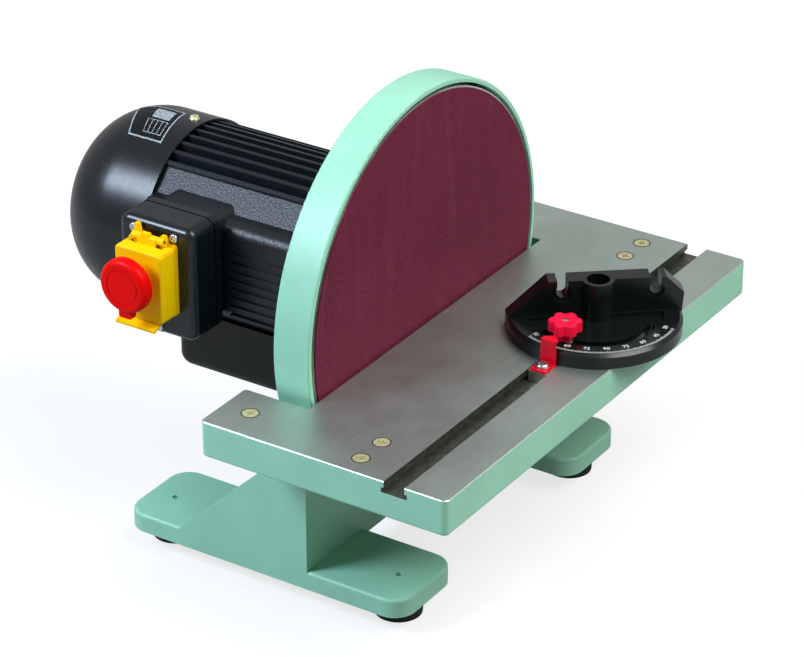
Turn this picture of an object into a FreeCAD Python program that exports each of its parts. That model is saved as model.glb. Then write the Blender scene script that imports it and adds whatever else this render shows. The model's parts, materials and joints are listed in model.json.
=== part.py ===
import FreeCAD, Part
import math
import os

# Benchtop disc sander, 305 mm disc. Millimetres, +Z up, bench at z = 0.
# X runs along the table, the disc faces -Y towards the operator, and the origin is
# the centre of the four foot holes at bench level.

V = FreeCAD.Vector
X_AXIS = V(1, 0, 0)
Y_AXIS = V(0, 1, 0)
Z_AXIS = V(0, 0, 1)
SIDES = (-1, 1)
CORNER_ANGLES = (45, 135, 225, 315)

# Fits and clearances
RUN = 0.05                  # radial running clearance on a pin or shaft
SLIP = 0.3                  # clearance between parts that slide or sit loose
SCREW_GAP = 0.1             # radial clearance of a screw in its plain hole
SLOT_GAP = 0.2              # mitre bar to each side of its slot
OVER = 1.0                  # how far a cutting tool runs past the face it opens

# Feet and base casting
HOLE_SPAN_X = 254.0
HOLE_SPAN_Y = 208.0
HOLE_R = 2.6
RUBBER_R = 20.0
RUBBER_TAPER = 1.5
RUBBER_H = 16.0
RUBBER_COLLAR_R = 9.0
RUBBER_COLLAR_H = 6.0
FOOT_OUT_X = 162.5          # outer face of each foot, half the base width
FOOT_W = 77.0
FOOT_FRONT_Y = -130.0
FOOT_REAR_Y = 127.0
FOOT_T = 15.5
FOOT_CORNER_R = 18.0
FOOT_EDGE_R = 2.5
WEB_T = 10.0
WEB_REAR_Y = 76.0           # where the sloping rear edge meets the foot
WEB_SLOPE = 44.0            # degrees from level
WALL_Y = -44.5              # front face of the wall between the webs
WALL_T = 8.0
WALL_LIFT = 8.5             # underside of the wall above the casting's bottom

# Disc and its housing
AXIS_Z = 208.0
FACE_Y = -48.0              # working face of the abrasive
PAPER_R = 152.5
PAPER_T = 1.2
PLATE_R = 153.8
PLATE_T = 8.0
HUB_R = 24.0
HUB_L = 14.0
SHAFT_NOSE = 5.0            # shaft inside the disc plate
KEY_W = 5.0
KEY_RISE = 2.0
KEY_DEPTH = 3.0
SET_SCREW_R = 3.0
SET_SCREW_L = 10.0
RIM_GAP = 2.8               # plate edge to housing
RIM_T = 3.9
RIM_EDGE_R = 1.5
RIM_SETBACK = 0.6           # housing's front edge behind the abrasive
HOUSING_L = 31.4
BACK_T = 6.0
LUG_HALF_W = 80.0
HOUSING_BOLT_X = 60.0
HOUSING_BOLT_Z = 39.0
HOUSING_BOLT_R = 4.0
HOUSING_BOLT_DEPTH = 14.0
BOLT_HEAD_R = 6.5           # half the width across the flats
BOLT_HEAD_H = 5.3
SPIGOT_R = 50.0
FLANGE_BOLT_PCR = 65.0
FLANGE_BOLT_R = 4.0
FLANGE_BOLT_GRIP = 7.0      # thread in the motor's front bell

# Table
TABLE_Z = 176.0
TABLE_HALF_X = 223.0
TABLE_FRONT_Y = -206.3
TABLE_GAP = 2.3             # table edge to abrasive
TABLE_T = 29.4              # height of the table's skirt
TOP_T = 9.0
SKIRT_T = 8.0
SKIRT_EDGE_R = 2.5
TOP_BEVEL = 0.6
WING_REAR_Y = 6.5
WING_IN_X = 165.5
TABLE_CORNER_R = 5.0
WING_TIP_R = 3.0
SLOT_Y = -162.35
SLOT_W = 17.6
SLOT_D = 9.0
SLOT_UNDERCUT_W = 2.2
SLOT_UNDERCUT_H = 4.0
SLOT_RIB_T = 18.0
SLOT_RIB_WALL = 8.0
RIB_Y = -95.0
RIB_H = 24.0
RIB_T = 6.0
RIB_X = 120.0
TABLE_SCREWS = ((177.0, -122.0), (204.0, -122.0), (193.7, -18.0))
TABLE_SCREW_R = 3.0
SCREW_HEAD_R = 6.4
SCREW_HEAD_H = 3.4

# Table tilt
TILT_Y = -38.0
TILT_Z = 160.0
TILT_RANGE = 45.0
TRUNNION_X = 164.0          # inner face of the trunnion web
TRUNNION_T = 7.0
TRUNNION_R = 38.0
FLANGE_T = 6.0
FLANGE_END = 8.0            # flange past its end screws
PIVOT_R = 4.0
PIVOT_THREAD_R = 3.0
PIVOT_THREAD_L = 9.0
PIVOT_HEAD_R = 6.2
PIVOT_HEAD_H = 4.0
PIVOT_BOSS_R = 8.0
PIVOT_BOSS_ROOT = 12.0      # boss inside the housing's ring, so that it meets the round wall
LOCK_R = 28.0               # tilt axis to lock stud
LOCK_ANGLE = 25.0           # degrees behind straight down
STUD_R = 4.0
STUD_OUT = 18.0
EAR_R = 12.0
KNOB_R = 12.0
KNOB_H = 15.0
WASHER_R = 8.0
WASHER_T = 1.5

# Mitre gauge
MITRE_X = 58.5              # swivel pivot along the table, as stored
MITRE_REST = 39.1           # degrees that the head is swivelled, as stored
MITRE_RANGE = 60.0
BAR_H = 8.5
BAR_LEFT = 85.0             # pivot to the bar's left end
BAR_RIGHT = 75.0
BAR_THREAD_L = 8.0
HEAD_R = 67.5
HEAD_T = 12.0
HEAD_CHAMFER = 2.5
POCKET_R = 53.0
POCKET_D = 3.0
POCKET_SETBACK = 3.0        # pocket's straight side in front of the fence
FENCE_NEAR = 1.0
FENCE_T = 15.0
FENCE_H = 40.0
FENCE_POINTS = ((-67, 0), (67, 0), (69, 26), (55, FENCE_H), (-36, FENCE_H), (-67, 11))
FENCE_NOTCHES = (-25.0, 47.0)
NOTCH_W = 8.5
NOTCH_DEPTH = 11.0
NOTCH_SEAT_R = 7.0
NOTCH_SEAT_D = 3.0
POST_BORE_X = 2.5           # centre of the clamp post's bore behind the pivot
POST_BORE_U = 2.5           # and along the fence from it
POST_BORE_R = 9.0
POST_BORE_WALL = 3.5
ARC_R = 45.0
ARC_GAP = 0.4
MITRE_PIVOT_R = 4.0
MITRE_PIVOT_HEAD_R = 5.3
MITRE_PIVOT_HEAD_T = 3.0
MITRE_PIVOT_SINK = 4.0      # seat of the screw's head below the plate's top
MITRE_STUD_R = 3.0
MITRE_STUD_RISE = 14.0
MITRE_WASHER_R = 7.0
MITRE_WASHER_T = 1.2
MITRE_KNOB_R = 13.0
MITRE_KNOB_H = 9.0
MITRE_KNOB_TOP = 14.8       # knob's top above the head's
POINTER_T = 1.5
POINTER_W = 13.0
POINTER_RISE = 6.5
POINTER_SCREW_R = 2.5
POINTER_SCREW_IN = 7.5      # screw from the bar's left end

# Motor
FRAME_Y0 = -6.0
FRAME_Y1 = 166.0
CORE_R = 64.0
BORE_R = 58.0
BELL_R = 72.0
BELL_T = 6.0
FIN_T = 3.0
FIN_PITCH = 9.6
FIN_COUNT = 10
SIDE_FIN_T = 2.0
SIDE_FIN_PITCH = 8.0
SIDE_FIN_COUNT = 11
FAIRING_X = -79.0           # flat side of the frame that carries the switch box
FAIRING_Y0 = -5.0
FAIRING_Z0 = 172.0
FAIRING_Z1 = 254.0
FAIRING_EDGE_R = 10.0
RIB_OUT = 1.6               # low ribs on the fairing, beside the switch box
RIB_T = 2.2
RIB_PITCH = 7.5
RIB_COUNT = 8
RIB_Z0 = 178.0
PAD_W = 32.0
PAD_R = 75.0
TIE_R = 2.5
TIE_PCR = 66.5
TIE_TURN = 10.0             # tie bolts stand beside the flange bolts
TIE_GRIP = 6.0
BEARING_R = 20.0
BEARING_W = 12.0
RACE_T = 4.5
BEARING_WALL = 6.0
FRONT_BEARING_Y = -12.0
REAR_BEARING_SET = 9.0      # rear bearing's front face inside the frame's end
INNER_RACE_T = 3.0
BALL_BITE = 1.0             # how deep a ball sits in each race's groove
BALL_COUNT = 8
SHAFT_R = 8.5
HUB_BORE_R = 8.0
ROTOR_SEAT_R = 12.0
FAN_SEAT_R = 7.0
ROTOR_R = 35.0
AIR_GAP = 0.5
STACK_Y0 = 30.0
STACK_Y1 = 110.0
STATOR_SLOTS = 24
FAN_SET = 15.0              # fan behind the frame's end
FAN_L = 20.0
FAN_HUB_R = 14.0
FAN_DISC_R = 52.0
FAN_R = 70.0
FAN_BLADES = 8
COVER_R = 79.4
COVER_T = 1.5
COVER_LAP = 2.0             # the cover's rim over the ends of the fins
COVER_FIN_GAP = 0.2
COVER_STRAIGHT = 40.6       # the cover is straight this far and elliptical behind it
COVER_AXIAL = 57.2
COVER_RADIAL = 50.15
COVER_SCREW_SET = 9.0       # screws behind the frame's end
COVER_SCREW_R = 2.0
COVER_SCREW_ANGLES = (6, 96, 186, 276)
COVER_LUG_W = 12.0
GRILLE_R = 42.0
GRILLE_PITCH = 9.5
GRILLE_W = 5.0

# Capacitor box under the motor
CAP_HALF_X = 60.0
CAP_BOTTOM_Z = 105.0
CAP_Y0 = -6.0
CAP_Y1 = 150.0
CAP_WALL = 2.5
CAP_CORNER_R = 12.0
CAP_SADDLE_R = 78.0
CAP_SADDLE_DROP = 50.0      # top of the box below the axis
CAP_SCREW_X = 26.0
CAP_SCREW_R = 2.0
CAP_SEATS_Y = (20.0, 110.0)
CAP_SEAT_W = 16.0
CAP_WINDOW = (14.0, 136.0)  # the box is open to the motor between these
CAP_R = 17.0
CAP_L = 90.0
CAP_CAN_Y = 30.0
CLIP_T = 1.5
CLIP_Y = 70.0
CLIP_W = 14.0
CLIP_HALF_X = 34.0

# Switch box on the motor's left side
BOX_FACE_X = -120.0
BOX_BACK_X = -85.0
BOX_Y0 = 84.5
BOX_Y1 = 154.5
BOX_Z0 = 169.0
BOX_Z1 = 264.0
BOX_WALL = 3.0
BOX_CORNER_R = 9.0
BOX_FACE_FILLET = 6.0
BOX_COVER_T = 27.0
BOX_SCREW_DY = 18.7
BOX_SCREW_TOP_Z = 255.5
BOX_SCREW_LOW_Z = 175.5
BOX_SCREW_R = 1.6
BOX_SCREW_HEAD_R = 3.6
GASKET_T = 1.5
GLAND_R = 6.0
GLAND_X = -103.0
GLAND_Z = 182.0
SWITCH_Y = 120.5            # centre of the switch
SWITCH_Z = 220.5
SWITCH_W = 43.0
SWITCH_H = 60.0
SWITCH_PLATE_T = 4.0
SWITCH_BODY_W = 34.0
SWITCH_BODY_H = 46.0
SWITCH_BODY_L = 24.0
LID_DEPTH = 18.0
LID_WALL = 2.0
LID_LIP = 6.0
HINGE_R = 1.5
HINGE_EAR_R = 3.0
HINGE_HALF_L = 15.0
EAR_IN = 9.0                # hinge ears from here to the pin's end
STOP_Z = 226.5
START_Z = 206.5
BUTTON_R = 7.0
BUTTON_OUT = 4.0
STEM_R = 6.0
MUSHROOM_R = 22.0
MUSHROOM_T = 9.0
MUSHROOM_GAP = 8.5          # mushroom's back above the lid's boss
LID_BOSS = 3.0

# Places that follow from the sizes above
PLATE_FRONT_Y = FACE_Y + PAPER_T
PLATE_BACK_Y = PLATE_FRONT_Y + PLATE_T
RIM_IN_R = PLATE_R + RIM_GAP
RIM_OUT_R = RIM_IN_R + RIM_T
HOUSING_Y0 = FACE_Y + RIM_SETBACK
HOUSING_Y1 = HOUSING_Y0 + HOUSING_L
FOOT_TOP_Z = RUBBER_H + FOOT_T
FOOT_IN_X = FOOT_OUT_X - FOOT_W
TABLE_EDGE_Y = FACE_Y - TABLE_GAP
TABLE_BOTTOM_Z = TABLE_Z - TABLE_T
EAR_FACE_X = TRUNNION_X - SLIP
LOCK_Y = TILT_Y + LOCK_R * math.sin(math.radians(LOCK_ANGLE))
LOCK_Z = TILT_Z - LOCK_R * math.cos(math.radians(LOCK_ANGLE))
BAR_W = SLOT_W - 2 * SLOT_GAP
BAR_TOP_Z = TABLE_Z - SLOT_D + SLIP + BAR_H
HEAD_Z = TABLE_Z + SLIP
HEAD_TOP_Z = HEAD_Z + HEAD_T
POCKET_Z = HEAD_TOP_Z - POCKET_D
POINTER_SCREW_X = MITRE_X - BAR_LEFT + POINTER_SCREW_IN
REAR_BEARING_Y = FRAME_Y1 - REAR_BEARING_SET
BELL_REAR_Y = FRAME_Y1 + BELL_T
BALL_R = (BEARING_R - RACE_T - SHAFT_R - INNER_RACE_T) / 2 + BALL_BITE
BALL_PITCH_R = (BEARING_R - RACE_T + SHAFT_R + INNER_RACE_T) / 2
FIN_R = COVER_R - COVER_T - COVER_FIN_GAP
COVER_Y0 = FRAME_Y1 - COVER_LAP
COVER_ELLIPSE_Y = COVER_Y0 + COVER_STRAIGHT
COVER_SCREW_Y = FRAME_Y1 + COVER_SCREW_SET
FAN_Y0 = FRAME_Y1 + FAN_SET
FAN_Y1 = FAN_Y0 + FAN_L
CAP_Z = CAP_BOTTOM_Z + CAP_WALL + CLIP_T + CAP_R
CAP_WINDOW_X = CAP_R + CLIP_T + SLIP
COVER_BACK_X = BOX_FACE_X + BOX_COVER_T
SHELL_FRONT_X = COVER_BACK_X + GASKET_T
SWITCH_PLATE_X = BOX_FACE_X - SWITCH_PLATE_T
LID_BACK_X = SWITCH_PLATE_X - SLIP
LID_FACE_X = LID_BACK_X - LID_DEPTH
HINGE_X = SWITCH_PLATE_X - HINGE_EAR_R - SLIP
HINGE_Z = SWITCH_Z + SWITCH_H / 2 + HINGE_EAR_R


def box(x0, x1, y0, y1, z0, z1):
    return Part.makeBox(x1 - x0, y1 - y0, z1 - z0, V(x0, y0, z0))


def rod(radius, start, length, axis):
    return Part.makeCylinder(radius, length, V(*start), axis)


def ring(r_out, r_in, start, length, axis):
    return rod(r_out, start, length, axis).cut(rod(r_in, start, length, axis))


def on_axis(r_out, y0, y1, r_in=0.0):
    # A cylinder or tube on the disc and motor axis.
    start = (0, y0, AXIS_Z)
    if r_in:
        return ring(r_out, r_in, start, y1 - y0, Y_AXIS)
    return rod(r_out, start, y1 - y0, Y_AXIS)


def prism(points, direction):
    wire = Part.makePolygon([V(*p) for p in points] + [V(*points[0])])
    return Part.Face(wire).extrude(direction)


def join(shapes):
    whole = shapes[0].fuse(list(shapes[1:])) if len(shapes) > 1 else shapes[0]
    return whole.removeSplitter()


def cut_all(shape, tools):
    return shape.cut(Part.makeCompound(list(tools)))


def edges_along(shape, axis, keep=lambda edge: True):
    # Straight edges parallel to an axis.
    found = []
    for edge in shape.Edges:
        if isinstance(edge.Curve, Part.Line) and abs(edge.Curve.Direction.dot(axis)) > 0.999:
            if keep(edge):
                found.append(edge)
    return found


def round_box(x0, x1, y0, y1, z0, z1, radius, axis):
    block = box(x0, x1, y0, y1, z0, z1)
    return block.makeFillet(radius, edges_along(block, axis))


def mirrored(make):
    # Left and right copies as one group of separate solids.
    return Part.makeCompound([make(side) for side in SIDES])


def turned(shape, angle, centre, axis):
    copy = shape.copy()
    copy.rotate(V(*centre), axis, angle)
    return copy


def around_axis(shape, angle):
    return turned(shape, angle, (0, 0, AXIS_Z), Y_AXIS)


def foot_centres():
    return [(sx * HOLE_SPAN_X / 2, sy * HOLE_SPAN_Y / 2) for sx in SIDES for sy in SIDES]


# ---- Base ----------------------------------------------------------------

def foot(side):
    x0, x1 = sorted((side * FOOT_IN_X, side * FOOT_OUT_X))
    bar = round_box(x0, x1, FOOT_FRONT_Y, FOOT_REAR_Y, RUBBER_H, FOOT_TOP_Z, FOOT_CORNER_R, Z_AXIS)
    rim = [edge for edge in bar.Edges if edge.BoundBox.ZMin > FOOT_TOP_Z - 0.01]
    return bar.makeFillet(FOOT_EDGE_R, rim)


def web(side):
    # Side plate: upright in front, sloping down to the rear, with an ear for the lock stud.
    rise = FOOT_TOP_Z - 2.0
    rear_top = WEB_REAR_Y - (LOCK_Z - rise) / math.tan(math.radians(WEB_SLOPE))
    x0 = side * (FOOT_OUT_X - WEB_T)
    outline = [(x0, WALL_Y, rise), (x0, WEB_REAR_Y, rise), (x0, rear_top, LOCK_Z), (x0, WALL_Y, LOCK_Z)]
    plate = prism(outline, X_AXIS * (side * WEB_T))
    ear = rod(EAR_R, (x0, LOCK_Y, LOCK_Z), EAR_FACE_X - FOOT_OUT_X + WEB_T, X_AXIS * side)
    return join([plate, ear])


def base_casting():
    half = FOOT_OUT_X - WEB_T / 2
    wall = box(-half, half, WALL_Y, WALL_Y + WALL_T, RUBBER_H + WALL_LIFT, LOCK_Z)
    casting = join([foot(-1), foot(1), web(-1), web(1), wall])
    tools = [on_axis(RIM_OUT_R + SLIP, FOOT_FRONT_Y, HOUSING_Y1 + SLIP)]
    for x, y in foot_centres():
        tools.append(rod(HOLE_R, (x, y, RUBBER_H), FOOT_T, Z_AXIS))
        tools.append(rod(RUBBER_COLLAR_R, (x, y, RUBBER_H), RUBBER_COLLAR_H, Z_AXIS))
    for x in housing_bolt_places():
        start = (x, WALL_Y - OVER, HOUSING_BOLT_Z)
        tools.append(rod(HOUSING_BOLT_R + SCREW_GAP, start, WALL_T + 2 * OVER, Y_AXIS))
    for side in SIDES:
        start = (side * (FOOT_OUT_X - WEB_T - OVER), LOCK_Y, LOCK_Z)
        tools.append(rod(STUD_R, start, WEB_T + EAR_R, X_AXIS * side))
    return cut_all(casting, tools)


def rubber_feet():
    feet = []
    for x, y in foot_centres():
        pad = Part.makeCone(RUBBER_R - RUBBER_TAPER, RUBBER_R, RUBBER_H, V(x, y, 0), Z_AXIS)
        collar = rod(RUBBER_COLLAR_R, (x, y, RUBBER_H - 1), RUBBER_COLLAR_H + 1, Z_AXIS)
        hole = rod(HOLE_R, (x, y, -OVER), RUBBER_H + RUBBER_COLLAR_H + 2 * OVER, Z_AXIS)
        feet.append(join([pad, collar]).cut(hole))
    return Part.makeCompound(feet)


# ---- Disc housing --------------------------------------------------------

def housing_bolt_places():
    return (-HOUSING_BOLT_X, -HOUSING_BOLT_X / 3, HOUSING_BOLT_X / 3, HOUSING_BOLT_X)


def disc_housing():
    shell = on_axis(RIM_OUT_R, HOUSING_Y0, HOUSING_Y1)
    rims = [e for e in shell.Edges if isinstance(e.Curve, Part.Circle)]
    shell = shell.makeFillet(RIM_EDGE_R, rims)
    lug = box(-LUG_HALF_W, LUG_HALF_W, WALL_Y + WALL_T, HOUSING_Y1,
              RUBBER_H + WALL_LIFT + 1, AXIS_Z - RIM_IN_R + 10)
    bosses = []
    for side in SIDES:
        start = (side * (RIM_IN_R - PIVOT_BOSS_ROOT), TILT_Y, TILT_Z)
        bosses.append(rod(PIVOT_BOSS_R, start, EAR_FACE_X - RIM_IN_R + PIVOT_BOSS_ROOT, X_AXIS * side))
    back_y = HOUSING_Y1 - BACK_T
    tools = [on_axis(RIM_IN_R, HOUSING_Y0 - OVER, back_y),
             on_axis(SPIGOT_R, back_y - OVER, HOUSING_Y1 + OVER)]
    for angle in CORNER_ANGLES:
        start = (FLANGE_BOLT_PCR, back_y - OVER, AXIS_Z)
        tools.append(around_axis(rod(FLANGE_BOLT_R + SCREW_GAP, start, BACK_T + 2 * OVER, Y_AXIS), angle))
    for x in housing_bolt_places():
        tools.append(rod(HOUSING_BOLT_R, (x, WALL_Y, HOUSING_BOLT_Z), HOUSING_BOLT_DEPTH + WALL_T, Y_AXIS))
    for side in SIDES:
        start = (side * (EAR_FACE_X - PIVOT_THREAD_L), TILT_Y, TILT_Z)
        tools.append(rod(PIVOT_THREAD_R, start, PIVOT_THREAD_L + OVER, X_AXIS * side))
    return cut_all(join([shell, lug] + bosses), tools)


def hex_head(radius_flats, start, height, axis):
    # Hexagonal prism whose corners lie at the across-corners radius.
    corner = radius_flats / math.cos(math.radians(30))
    side = V(0, 0, 1) if abs(axis.z) < 0.5 else V(1, 0, 0)
    points = []
    for k in range(6):
        spin = FreeCAD.Rotation(axis, 60 * k)
        points.append(V(*start) + spin.multVec(side) * corner)
    wire = Part.makePolygon(points + [points[0]])
    return Part.Face(wire).extrude(axis * height)


def housing_bolts():
    bolts = []
    for x in housing_bolt_places():
        head = hex_head(BOLT_HEAD_R, (x, WALL_Y, HOUSING_BOLT_Z), BOLT_HEAD_H, Y_AXIS * -1)
        shank = rod(HOUSING_BOLT_R, (x, WALL_Y, HOUSING_BOLT_Z), WALL_T + HOUSING_BOLT_DEPTH, Y_AXIS)
        bolts.append(join([head, shank]))
    return Part.makeCompound(bolts)


# ---- Disc and shaft ------------------------------------------------------

def disc_plate():
    plate = on_axis(PLATE_R, PLATE_FRONT_Y, PLATE_BACK_Y)
    hub = on_axis(HUB_R, PLATE_FRONT_Y + 1, PLATE_BACK_Y + HUB_L)
    tools = [on_axis(HUB_BORE_R, PLATE_BACK_Y - SHAFT_NOSE, PLATE_BACK_Y + HUB_L + OVER), shaft_key()]
    for angle in (90, 180):
        hole = rod(SET_SCREW_R, (0, PLATE_BACK_Y + HUB_L / 2, AXIS_Z + HUB_BORE_R - 1), HUB_R, Z_AXIS)
        tools.append(around_axis(hole, angle))
    return cut_all(join([plate, hub]), tools)


def hub_set_screws():
    y = PLATE_BACK_Y + HUB_L / 2
    screw = rod(SET_SCREW_R, (0, y, AXIS_Z + HUB_BORE_R), SET_SCREW_L, Z_AXIS)
    socket = hex_head(SET_SCREW_R / 2, (0, y, AXIS_Z + HUB_BORE_R + SET_SCREW_L - 3), 4, Z_AXIS)
    screw = screw.cut(socket)
    return Part.makeCompound([around_axis(screw, 90), around_axis(screw, 180)])


def shaft_key():
    return box(-KEY_W / 2, KEY_W / 2, PLATE_BACK_Y - SHAFT_NOSE, PLATE_BACK_Y + HUB_L,
               AXIS_Z + HUB_BORE_R - KEY_DEPTH, AXIS_Z + HUB_BORE_R + KEY_RISE)


def motor_shaft():
    steps = (
        (HUB_BORE_R, PLATE_BACK_Y - SHAFT_NOSE),
        (SHAFT_R, FRONT_BEARING_Y - 1),
        (ROTOR_SEAT_R, STACK_Y0 - 10),
        (SHAFT_R, STACK_Y1 + 10),
        (FAN_SEAT_R, REAR_BEARING_Y + BEARING_W + 1),
    )
    ends = [y for _, y in steps[1:]] + [FAN_Y1 + 2]
    shaft = join([on_axis(r, y0, y1) for (r, y0), y1 in zip(steps, ends)])
    return shaft.cut(shaft_key())


def rotor_core():
    rotor = on_axis(ROTOR_R, STACK_Y0, STACK_Y1)
    rings = on_axis(ROTOR_R - 3, STACK_Y0 - 8, STACK_Y1 + 8)
    return join([rotor, rings]).cut(on_axis(ROTOR_SEAT_R, STACK_Y0 - 20, STACK_Y1 + 20))


def bearing_outer(y0):
    tube = on_axis(BEARING_R, y0, y0 + BEARING_W, BEARING_R - RACE_T)
    groove = Part.makeTorus(BALL_PITCH_R, BALL_R + RUN, V(0, y0 + BEARING_W / 2, AXIS_Z), Y_AXIS)
    return tube.cut(groove)


def bearing_inner(y0):
    tube = on_axis(SHAFT_R + INNER_RACE_T, y0, y0 + BEARING_W, SHAFT_R)
    groove = Part.makeTorus(BALL_PITCH_R, BALL_R + RUN, V(0, y0 + BEARING_W / 2, AXIS_Z), Y_AXIS)
    return tube.cut(groove)


def bearing_balls(y0):
    balls = []
    for k in range(BALL_COUNT):
        ball = Part.makeSphere(BALL_R, V(BALL_PITCH_R, y0 + BEARING_W / 2, AXIS_Z))
        balls.append(around_axis(ball, 360.0 * k / BALL_COUNT))
    return Part.makeCompound(balls)


def cooling_fan():
    hub = on_axis(FAN_HUB_R, FAN_Y0, FAN_Y1)
    disc = on_axis(FAN_DISC_R, FAN_Y0, FAN_Y0 + 2.5)
    blades = []
    for k in range(FAN_BLADES):
        blade = box(-1.2, 1.2, FAN_Y0 + 1, FAN_Y1 - 1, AXIS_Z + FAN_HUB_R - 2, AXIS_Z + FAN_R)
        blades.append(around_axis(blade, 360.0 * k / FAN_BLADES))
    return join([hub, disc] + blades).cut(on_axis(FAN_SEAT_R, FAN_Y0 - OVER, FAN_Y1 + OVER))


# ---- Motor ---------------------------------------------------------------


def motor_front_bell():
    back_y = HOUSING_Y1 - BACK_T
    disc = on_axis(BELL_R, HOUSING_Y1, FRAME_Y0)
    spigot = on_axis(SPIGOT_R, back_y, HOUSING_Y1 + 1)
    boss = on_axis(BEARING_R + BEARING_WALL, HOUSING_Y1, FRONT_BEARING_Y + BEARING_W + 1)
    lip = on_axis(BORE_R, FRAME_Y0 - 1, FRAME_Y0 + 5, BORE_R - 4)
    tools = [on_axis(BEARING_R, FRONT_BEARING_Y, FRONT_BEARING_Y + BEARING_W + 2)]
    tools.append(on_axis(SHAFT_R + 1.5, back_y - OVER, FRONT_BEARING_Y + OVER))
    tools.append(on_axis(SPIGOT_R - 8, back_y - OVER, HOUSING_Y1 - 2, BEARING_R + 2))
    for angle in CORNER_ANGLES:
        start = (FLANGE_BOLT_PCR, HOUSING_Y1 - OVER, AXIS_Z)
        hole = rod(FLANGE_BOLT_R, start, FLANGE_BOLT_GRIP + 1.5, Y_AXIS)
        tools.append(around_axis(hole, angle))
        tie = rod(TIE_R, (TIE_PCR, FRAME_Y0 - TIE_GRIP, AXIS_Z), TIE_GRIP + 2, Y_AXIS)
        tools.append(around_axis(tie, angle + TIE_TURN))
    return cut_all(join([disc, spigot, boss, lip]), tools)


def motor_flange_bolts():
    bolts = []
    for angle in CORNER_ANGLES:
        start = (FLANGE_BOLT_PCR, HOUSING_Y1 - BACK_T, AXIS_Z)
        head = hex_head(BOLT_HEAD_R, start, BOLT_HEAD_H, Y_AXIS * -1)
        shank = rod(FLANGE_BOLT_R, start, BACK_T + FLANGE_BOLT_GRIP, Y_AXIS)
        bolts.append(around_axis(join([head, shank]), angle))
    return Part.makeCompound(bolts)


def frame_fins():
    # Upright fins on top and level ones on both sides, all within one round outline.
    blades = []
    for k in range(FIN_COUNT):
        x = (k - (FIN_COUNT - 1) / 2) * FIN_PITCH
        blades.append(box(x - FIN_T / 2, x + FIN_T / 2, FRAME_Y0, FRAME_Y1, AXIS_Z + 40, AXIS_Z + FIN_R))
    for side in SIDES:
        x0, x1 = sorted((side * 45, side * FIN_R))
        for k in range(SIDE_FIN_COUNT):
            z = AXIS_Z + (k - (SIDE_FIN_COUNT - 1) / 2) * SIDE_FIN_PITCH
            blades.append(box(x0, x1, FRAME_Y0, FRAME_Y1, z - SIDE_FIN_T / 2, z + SIDE_FIN_T / 2))
    rim = on_axis(FIN_R, FRAME_Y0, FRAME_Y1)
    return [blade.common(rim) for blade in blades]


def frame_pads():
    pads = []
    for angle in CORNER_ANGLES:
        pad = box(-PAD_W / 2, PAD_W / 2, FRAME_Y0, FRAME_Y1, AXIS_Z + 50, AXIS_Z + PAD_R)
        pads.append(around_axis(pad, angle))
    return pads


def box_fairing():
    # Smooth side of the frame around the switch box, and the neck that carries the box.
    flat = box(FAIRING_X, -45, FAIRING_Y0, FRAME_Y1 - 3, FAIRING_Z0, FAIRING_Z1)
    outer = [e for e in flat.Edges if e.BoundBox.XMax < FAIRING_X + 0.1 and e.BoundBox.YMin < FRAME_Y1 - 4]
    flat = flat.makeFillet(FAIRING_EDGE_R, outer)
    neck = round_box(BOX_BACK_X, -50, BOX_Y0 + 4, BOX_Y1 - 4, BOX_Z0 + 5, BOX_Z1 - 5, 8, X_AXIS)
    ribs = []
    for k in range(RIB_COUNT):
        z = RIB_Z0 + k * RIB_PITCH
        ribs.append(box(FAIRING_X - RIB_OUT, FAIRING_X + 2, FAIRING_Y0 + FAIRING_EDGE_R,
                        BOX_Y0 - RIB_PITCH / 2, z - RIB_T / 2, z + RIB_T / 2))
    return [flat, neck] + ribs


def capacitor_box_seats():
    seats = []
    for y in CAP_SEATS_Y:
        for side in SIDES:
            x = side * CAP_SCREW_X
            seat = box(x - 8, x + 8, y, y + CAP_SEAT_W, AXIS_Z - 80, AXIS_Z - 50)
            seats.append(seat.common(on_axis(CAP_SADDLE_R - SCREW_GAP, y, y + CAP_SEAT_W)))
    return seats


def motor_frame():
    core = on_axis(CORE_R, FRAME_Y0, FRAME_Y1)
    frame = join([core] + frame_fins() + frame_pads() + box_fairing() + capacitor_box_seats())
    tools = [on_axis(BORE_R, FRAME_Y0 - OVER, FRAME_Y1 + OVER)]
    for angle in CORNER_ANGLES:
        start = (TIE_PCR, FRAME_Y0 - OVER, AXIS_Z)
        tie = rod(TIE_R + SCREW_GAP, start, FRAME_Y1 - FRAME_Y0 + 2 * OVER, Y_AXIS)
        tools.append(around_axis(tie, angle + TIE_TURN))
    for y, x in capacitor_box_screw_places():
        tools.append(rod(CAP_SCREW_R, (x, y, AXIS_Z - 76), 14, Z_AXIS))
    wiring = round_box(BOX_BACK_X - OVER, -50, BOX_Y0 + 9, BOX_Y1 - 9, BOX_Z0 + 10, BOX_Z1 - 10, 6, X_AXIS)
    tools.append(wiring.cut(core))
    return cut_all(frame, tools)


def capacitor_box_screw_places():
    return [(y + CAP_SEAT_W / 2, side * CAP_SCREW_X) for y in CAP_SEATS_Y for side in SIDES]


def stator_core():
    stack = on_axis(BORE_R, STACK_Y0, STACK_Y1, ROTOR_R + AIR_GAP)
    slots = []
    for k in range(STATOR_SLOTS):
        slot = box(-2, 2, STACK_Y0 - OVER, STACK_Y1 + OVER, AXIS_Z + ROTOR_R + 3, AXIS_Z + BORE_R - 7)
        slots.append(around_axis(slot, 360.0 * k / STATOR_SLOTS))
    return cut_all(stack, slots)


def stator_windings():
    ends = []
    for y0, y1 in ((STACK_Y0 - 18, STACK_Y0), (STACK_Y1, STACK_Y1 + 18)):
        coil = on_axis(BORE_R - 4, y0, y1, ROTOR_R + 3)
        rounded = [e for e in coil.Edges if isinstance(e.Curve, Part.Circle)]
        ends.append(coil.makeFillet(4, rounded))
    return Part.makeCompound(ends)


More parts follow.
